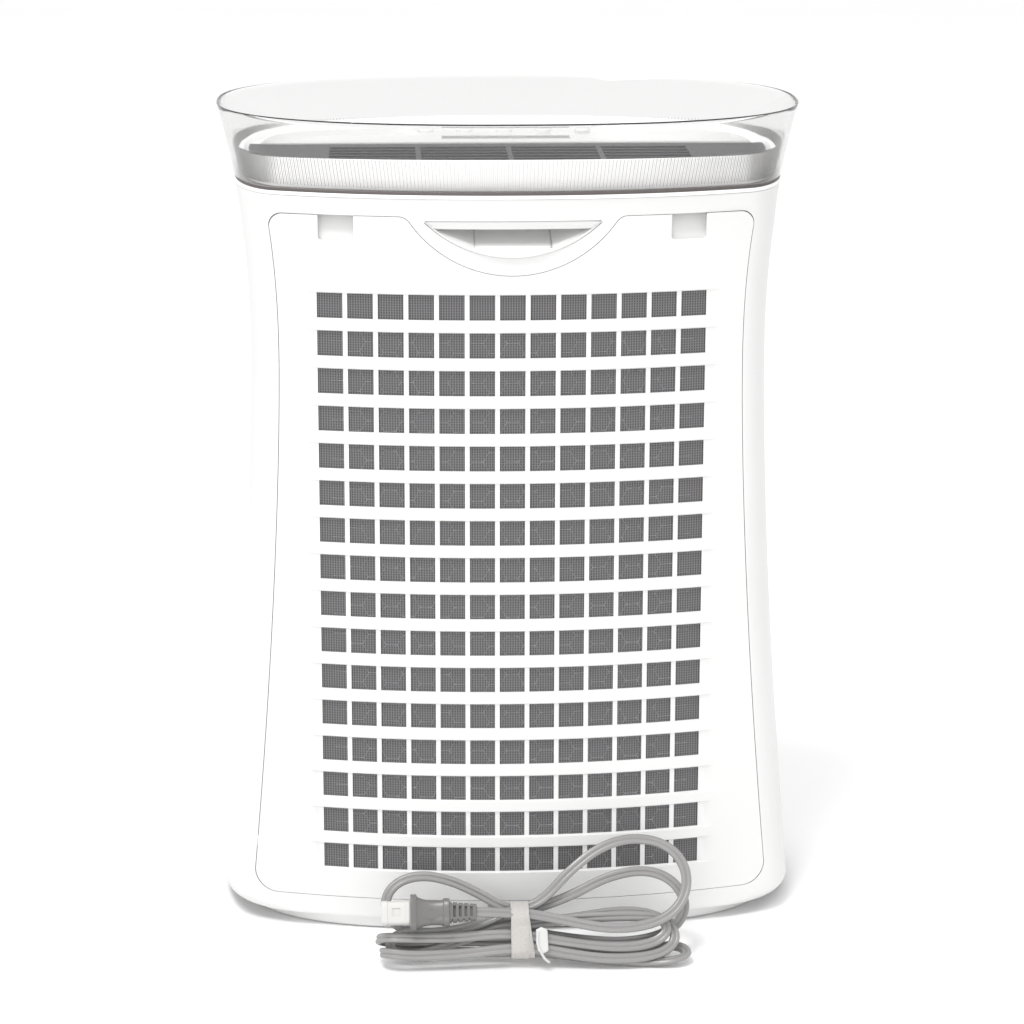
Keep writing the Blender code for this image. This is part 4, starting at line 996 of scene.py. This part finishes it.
def make_ribs(film, shade_film):
    """The collar's inner sleeve: fine upright ribs with steep flanks. The flanks carry a dark film, which is
    painted shade for the darkening that clear ribs show when seen at a slant.
    """
    shares = [(k + share) / RIB_COUNT for k in range(RIB_COUNT) for share in (0.0, 0.44, 0.5, 0.94)]
    crest = np.array((0.0, 0.0, 1.0, 1.0) * RIB_COUNT)

    def ribbed(z, inset, depth):
        ring, outward = outline_at(z, inset, shares)
        ring[:, :2] += outward * (depth * crest)[:, None]
        return ring

    bands = [(COLLAR_LOW_Z + 1.6, 5.2, 0.9), (532.0, 5.2, 1.1), (549.0, 5.0, 1.1), (550.2, 4.9, 0.9)]
    outside = [ribbed(z, inset, depth) for z, inset, depth in bands]
    inside = [outline_at(z, inset + 0.7, shares)[0] for z, inset, _ in bands[::-1]]
    sleeve = mesh_piece("collar_ribs", *loft(outside + inside, endless=True), film, 20.0)
    sleeve.data.materials.append(shade_film)
    # the flank faces take the dark second film: painted shade for the refraction dark of clear ribs, while
    # crests and roots keep the pale film
    for face in sleeve.data.polygons:
        columns = [i % len(shares) for i in face.vertices]
        on_flank = min(columns) % 2 == 1 or max(columns) - min(columns) > 1
        if on_flank and max(face.vertices) < len(outside) * len(shares):
            face.material_index = 1
    pass_light(sleeve)
    hold(sleeve, "housing", "clear_collar")


# ---- plug, tie and tag

def across(stations, centre_t, centre_n, sides=44, power=0.6):
    """A closed loft along X of flattened ovals: (x, half height, half thickness) stations."""
    section = squared(sides, power)
    return loft([[hank_point(x, centre_t + u * tall, centre_n + v * thick) for u, v in section]
                 for x, tall, thick in stations])


def hank_block(x0, x1, t0, t1, n0, n1):
    ring = ((t0, n0), (t1, n0), (t1, n1), (t0, n1))
    return loft([[hank_point(x, t, n) for t, n in ring] for x in (x0, x1)])


def bead(route, radius, sides=10):
    """A round bar along a route of points."""
    path = np.array(route, float)
    tangents, side = transported(path, (0.1, 0.9, 0.3))
    up = np.cross(tangents, side)
    return loft([[tuple(spot + radius * (c * wide + s * tall)) for c, s in circle(sides)]
                 for spot, wide, tall in zip(path, side, up)])


RELIEF_SLOTS = 4
RELIEF_X = 29.6
RELIEF_PITCH = 3.9


def make_plug(vinyl):
    """The plug's moulding, with its slotted strain relief and the oval mark on its face."""
    body = [(27.0, 5.2, 3.0), (27.3, 5.6, 3.5), (33.0, 6.1, 4.2), (40.0, 6.7, 4.8), (45.0, 7.1, 5.2)]
    body += [(45.4, 7.5, 5.4), (45.6, 9.1, 6.1), (46.0, 9.6, 6.5), (49.4, 9.7, 6.5), (49.9, 9.3, 6.3)]
    body += [(50.1, 8.9, 5.9), (52.0, 8.4, 5.6), (58.0, 8.3, 5.3), (64.0, 9.3, 5.5), (67.4, 10.7, 6.0)]
    body += [(68.0, 11.4, 6.3), (68.3, 12.3, 6.7), (68.7, 12.7, 6.9), (72.0, 12.7, 6.9), (72.5, 12.3, 6.6)]
    plug = mesh_piece("plug_shell", *across(body, PLUG_T, PLUG_LEVEL), vinyl)
    steps = []
    for k in range(RELIEF_SLOTS):
        x, slot, waist = RELIEF_X + RELIEF_PITCH * k, 3.4 + 0.2 * k, 4.6 + 0.3 * k
        for x0, x1, t0, t1, n0 in ((0.0, 1.9, -slot, slot, 2.0), (1.9, 2.9, -9.0, -waist, -9.0),
                                   (1.9, 2.9, waist, 9.0, -9.0)):
            steps.append(("DIFFERENCE", hank_block(x + x0, x + x1, PLUG_T + t0, PLUG_T + t1, PLUG_LEVEL + n0,
                                                   PLUG_LEVEL + 9.0)))
    shape_by(plug, steps, 30.0)
    hold(plug, "housing", "cord_grey", "plug_body")
    oval = np.array([hank_point(58.8 + 5.4 * c, PLUG_T - 2.2 + 3.6 * s, PLUG_LEVEL + 5.15)
                     for c, s in circle(40)])
    run = np.roll(oval, -1, axis=0) - np.roll(oval, 1, axis=0)
    run /= np.linalg.norm(run, axis=1)[:, None]
    side = np.cross(run, HANK_OUT)
    rings = [[tuple(spot + 0.42 * (c * wide + s * HANK_OUT)) for c, s in circle(8)]
             for spot, wide in zip(oval, side)]
    mark = mesh_piece("plug_grip", *loft(rings, endless=True), vinyl, 60.0)
    return plug, hold(mark, "housing", "cord_grey")


def make_cover(polythene):
    """The moulded cap on the plug's blades."""
    stations = [(72.9, 8.1, 4.6), (73.2, 8.4, 5.0), (76.0, 8.4, 5.0), (76.4, 8.1, 4.5), (88.0, 8.1, 4.5)]
    stations += [(88.4, 8.4, 4.9), (91.4, 8.4, 4.9), (92.2, 8.2, 4.7), (92.6, 7.6, 4.2)]
    cover = mesh_piece("blade_cap", *across(stations, PLUG_T, PLUG_LEVEL, power=0.45), polythene)
    steps = [("DIFFERENCE", hank_block(60.0, 90.6, t - 1.2, t + 1.2, PLUG_LEVEL - 3.5, PLUG_LEVEL + 3.5))
             for t in (PLUG_T - BLADE_T, PLUG_T + BLADE_T)]
    dimple = hank_block(79.5, 85.0, PLUG_T - 2.6, PLUG_T + 2.6, PLUG_LEVEL + 3.8, PLUG_LEVEL + 6.0)
    shape_by(cover, steps + [("DIFFERENCE", dimple)], 30.0)
    return hold(cover, "housing", "cover_white", "blade_cover")


TIE_LOOP = ((2.6, -4.0), (4.4, -8.6), (14.0, -9.6), (28.0, -9.4), (38.0, -7.0), (40.4, -2.0), (39.6, 3.8),
            (36.4, 9.2), (31.8, 13.4), (26.0, 13.8), (21.0, 11.6), (14.0, 9.9), (6.4, 9.4), (3.0, 7.2),
            (1.9, 2.0))


def strap(x_low, x_high, grow, skew, count=96):
    """A woven strap round the bundle: a thin band that follows its outline."""
    loop = np.array(TIE_LOOP + (TIE_LOOP[0],), float)
    closed = np.vstack([loop[-3:-1], loop, loop[1:3]])
    fine = smooth_route(np.hstack([closed, np.zeros((len(closed), 1))]), 0.8)[:, :2]
    centre = np.array((21.0, 1.5))
    angles = np.unwrap(np.arctan2(fine[:, 1] - centre[1], fine[:, 0] - centre[0]))
    radius = np.hypot(*(fine - centre).T)
    order = np.argsort(angles)
    turns = np.linspace(0, 2 * math.pi, count, endpoint=False)
    start = angles.min()
    wanted = start + (turns - start) % (2 * math.pi)
    reach = np.interp(wanted, angles[order], radius[order])
    edge = 0.25
    band = ((x_low + edge, 0.0), (x_low, 0.35), (x_low, 0.75), (x_low + edge, 1.1),
            (x_high - edge, 1.1), (x_high, 0.75), (x_high, 0.35), (x_high - edge, 0.0))
    rings = []
    for x, inset in band:
        ts = centre[0] + (reach + grow + inset) * np.cos(turns)
        ns = centre[1] + (reach + grow + inset) * np.sin(turns)
        rings.append([hank_point(x + skew * (t - 21.0) / 20.0, t, n) for t, n in zip(ts, ns)])
    return loft(rings, endless=True)


def webbing_height(tree, across_x, up_z):
    """A coarse basket weave under short fuzz."""
    cross = math_node(tree, "MULTIPLY", math_node(tree, "SINE", across_x), math_node(tree, "SINE", up_z))
    return math_node(tree, "ADD", math_node(tree, "MULTIPLY", cross, 0.35), noise(tree, 900.0, 3.0, 0.6))


def make_tie(fabric, white):
    """Two turns of webbing round the bundle, and the tag with its hanging strip."""
    main = strap(-9.2, 3.3, -0.5, 0.0)
    second = strap(-10.4, 0.6, -0.9, 2.8)
    tie = mesh_piece("webbing_tie", *join_shapes(main, second), fabric, 50.0)
    hold(tie, "housing", "tie_fabric", "cord_tie")

    rings = []
    for share in np.linspace(0.0, 1.0, 13):
        t = 20.4 - 18.0 * share
        round_off = math.sqrt(max(1.0 - max(abs(share - 0.5) / 0.5 - 0.72, 0.0) ** 2 / 0.0785, 0.02))
        half, thick = 4.2 * (1.0 - 0.10 * share) * round_off, 1.15 * (0.55 + 0.45 * round_off)
        rings.append([hank_point(-18.0 + 0.05 * (t - 11.0) + u * half, t, 11.2 + v * thick)
                      for u, v in squared(20, 0.6)])
    route = [(-15.0, 17.0, 12.6), (-14.6, 9.0, 12.9), (-17.0, 2.6, 12.2), (-19.5, -1.2, 10.2)]
    route.append((-22.6, -3.4, 8.0))
    tail = smooth_route([hank_point(*p) for p in route], 1.2)
    tag = mesh_piece("tie_clip", *join_shapes(loft(rings), bead(tail, 0.95)), white, 50.0)
    hold(tag, "housing", "tag_white", "tie_tag")
    return tie, tag


GLAND_RIDGES = 5
GLAND_FIRST_Y = 111.2


def make_gland(vinyl):
    """The tapered strain relief, ridged, where the cord leaves the housing."""
    profile = [(6.6, 100.0), (6.6, 102.4), (5.1, 102.4), (5.1, 106.7), (6.2, 106.7), (6.5, 107.2)]
    profile += [(6.4, 109.0), (5.9, 110.0)]
    for k in range(GLAND_RIDGES):
        y, size = GLAND_FIRST_Y + 3.4 * k, 5.6 - 0.2 * k
        profile += [(size - 0.7, y - 0.5), (size, y), (size, y + 1.5), (size - 0.8, y + 2.0)]
    profile += [(4.4, GLAND_TIP_Y - 0.5), (4.0, GLAND_TIP_Y)]
    rings = [[(GLAND_X + r * c, y, GLAND_Z + r * s) for c, s in circle(40)] for r, y in profile]
    hold(mesh_piece("strain_relief", *loft(rings), vinyl, 40.0), "housing", "cord_grey", "cord_gland")


# ---- build

white_body = moulded("white_abs", WHITE, 0.40)
white_panel = moulded("white_panel_abs", (0.73, 0.73, 0.725), 0.38)
white_foot = moulded("white_base_abs", (0.71, 0.71, 0.705), 0.44)
white_gloss = moulded("white_gloss_abs", (0.74, 0.74, 0.735), 0.16, depth=0.001, coat=0.3)
clear = finish("clear_plastic", ((0.885, 0.882, 0.88), (0.905, 0.902, 0.90)), (6.0, 2.0), (0.02, 0.07),
               (80.0, 3.0), (25.0, 1.0), 0.02, sockets={"Transmission Weight": 1.0, "IOR": 1.49})
seal_finish = moulded("seal_rubber", (0.10, 0.088, 0.085), 0.55, 0.5, 0.01, 0.012)
make_shells(white_body)
make_base(white_foot)
make_panel(white_panel)
make_cloth(woven("prefilter_weave", (1.75, 1.75), net_height, ((0.04, 0.039, 0.04), (0.165, 0.162, 0.166)),
                 (0.25, 0.9), 0.8, 0.12))
make_honeycomb(finish("honeycomb_strand", ((0.20, 0.195, 0.2), (0.28, 0.275, 0.28)), (300.0,), 0.6))
make_handle(white_body)
make_deck(moulded("white_deck_abs", (0.86, 0.86, 0.855), 0.38), white_gloss)
make_collar(clear, seal_finish)
# the second, dark film is painted shade on the rib flanks, standing in for the refraction dark of clear ribs
make_ribs(thin_film("rib_film", (0.92, 0.92, 0.92), 0.04, 0.15),
          thin_film("rib_flank_painted_shade", (0.06, 0.057, 0.055), 0.6, 0.2))
plug_finish = moulded("plug_vinyl", (0.155, 0.151, 0.149), 0.28, 0.6, 0.006, 0.008)
plug, plug_mark = make_plug(plug_finish)
cover = make_cover(moulded("cap_polythene", (0.58, 0.57, 0.555), 0.42, 0.8, 0.02, 0.03))
webbing = woven("tie_webbing", (0.9, 0.7), webbing_height, ((0.42, 0.398, 0.38), (0.56, 0.54, 0.518)),
                (0.2, 0.9), 0.9, 0.14, sheen=0.2)
tie, tag = make_tie(webbing, moulded("tag_polythene", (0.60, 0.60, 0.592), 0.35, 0.8, 0.02, 0.03))
make_gland(moulded("gland_vinyl", (0.20, 0.195, 0.192), 0.45, 0.6, 0.01, 0.015))


# ---- materials on the CAD nodes

FINISHES = {
    "indicator_lens": smoked("smoked_lens"),
    "display_lens": smoked("display_glass"),
    "filter_tray": moulded("tray_abs", (0.75, 0.75, 0.74), 0.5),
    "tray_screw_": metal("zinc_plate", (0.62, 0.62, 0.60), 0.35),
    "motor_screw_": metal("zinc_screw", (0.62, 0.62, 0.60), 0.35),
    "carbon_frame": moulded("carbon_card", (0.11, 0.11, 0.11), 0.7, 0.6, 0.03, 0.02),
    "carbon_media": paper("carbon_cloth", (0.07, 0.07, 0.07)),
    "hepa_frame": paper("filter_card", (0.80, 0.80, 0.78)),
    "hepa_pleats": paper("filter_paper", (0.86, 0.86, 0.84)),
    "scroll_housing": moulded("duct_abs", (0.30, 0.30, 0.31), 0.55),
    "inlet_ring": moulded("inlet_abs", (0.30, 0.30, 0.31), 0.5),
    "impeller": moulded("fan_abs", (0.78, 0.78, 0.77), 0.5),
    "motor_shaft": metal("shaft_steel", (0.64, 0.64, 0.64), 0.22),
    "shaft_nut": moulded("nut_nylon", (0.62, 0.14, 0.10), 0.45, 0.6, 0.01, 0.03),
    "bearing_": metal("bearing_steel", (0.56, 0.56, 0.57), 0.3),
    "motor_body": metal("motor_can", (0.5, 0.5, 0.5), 0.38),
    "motor_mount": metal("mount_steel", (0.5, 0.5, 0.5), 0.42),
    "outlet_grille": moulded("dark_grille_abs", (0.022, 0.022, 0.023), 0.5, 0.5, 0.01, 0.01),
    "display_board": moulded("board_green", (0.03, 0.16, 0.07), 0.4, 0.8, 0.01, 0.02),
    "main_board": moulded("board_mask", (0.03, 0.16, 0.07), 0.4, 0.8, 0.01, 0.02),
    "button_": moulded("button_abs", (0.76, 0.76, 0.76), 0.33),
    "foot_": moulded("foot_rubber", (0.075, 0.075, 0.075), 0.75, 0.5, 0.03, 0.02),
    "dust_sensor": moulded("sensor_abs", (0.05, 0.05, 0.05), 0.5, 0.5, 0.01, 0.01),
    "ion_unit": moulded("ion_abs", (0.07, 0.12, 0.26), 0.5, 0.5, 0.01, 0.02),
    "plug_blade_": metal("brass", (0.72, 0.56, 0.27), 0.28),
}

for node_name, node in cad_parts.items():
    for key, look in FINISHES.items():
        if node_name.startswith(key):
            node.data.materials.clear()
            node.data.materials.append(look)
            break


# ---- stage

def stage():
    pale = finish("stage_floor", ((0.965,) * 3, (0.975,) * 3), (2.0,), 0.9)
    size = 12000.0
    steps = 6
    grid = np.linspace(-size / 2, size / 2, steps)
    points = [(x, y, 0.0) for y in grid for x in grid]
    faces = [(r * steps + c, r * steps + c + 1, (r + 1) * steps + c + 1, (r + 1) * steps + c)
             for r in range(steps - 1) for c in range(steps - 1)]
    mesh_piece("stage_floor", points, faces, pale)

    world = bpy.data.worlds.new("studio")
    bpy.context.scene.world = world
    world.use_nodes = True
    world.node_tree.nodes["Background"].inputs["Color"].default_value = (1.0, 1.0, 1.0, 1.0)
    world.node_tree.nodes["Background"].inputs["Strength"].default_value = 1.0


def soft_light(name, spot, target, size, energy):
    data = bpy.data.lights.new(name, "AREA")
    data.shape = "RECTANGLE"
    data.size, data.size_y = size
    data.energy = energy
    made = bpy.data.objects.new(name, data)
    made.location = Vector(spot)
    made.rotation_euler = (Vector(target) - Vector(spot)).to_track_quat("-Z", "Y").to_euler()
    bpy.context.collection.objects.link(made)


stage()
soft_light("key", (0.8, 1.3, 3.4), (0, 0, 0.25), (1.0, 1.0), 56.0)
soft_light("fill", (0.5, 2.6, 0.75), (0, 0, 0.2), (1.2, 1.2), 10.0)

view = bpy.context.scene.view_settings
view.view_transform = "Standard"
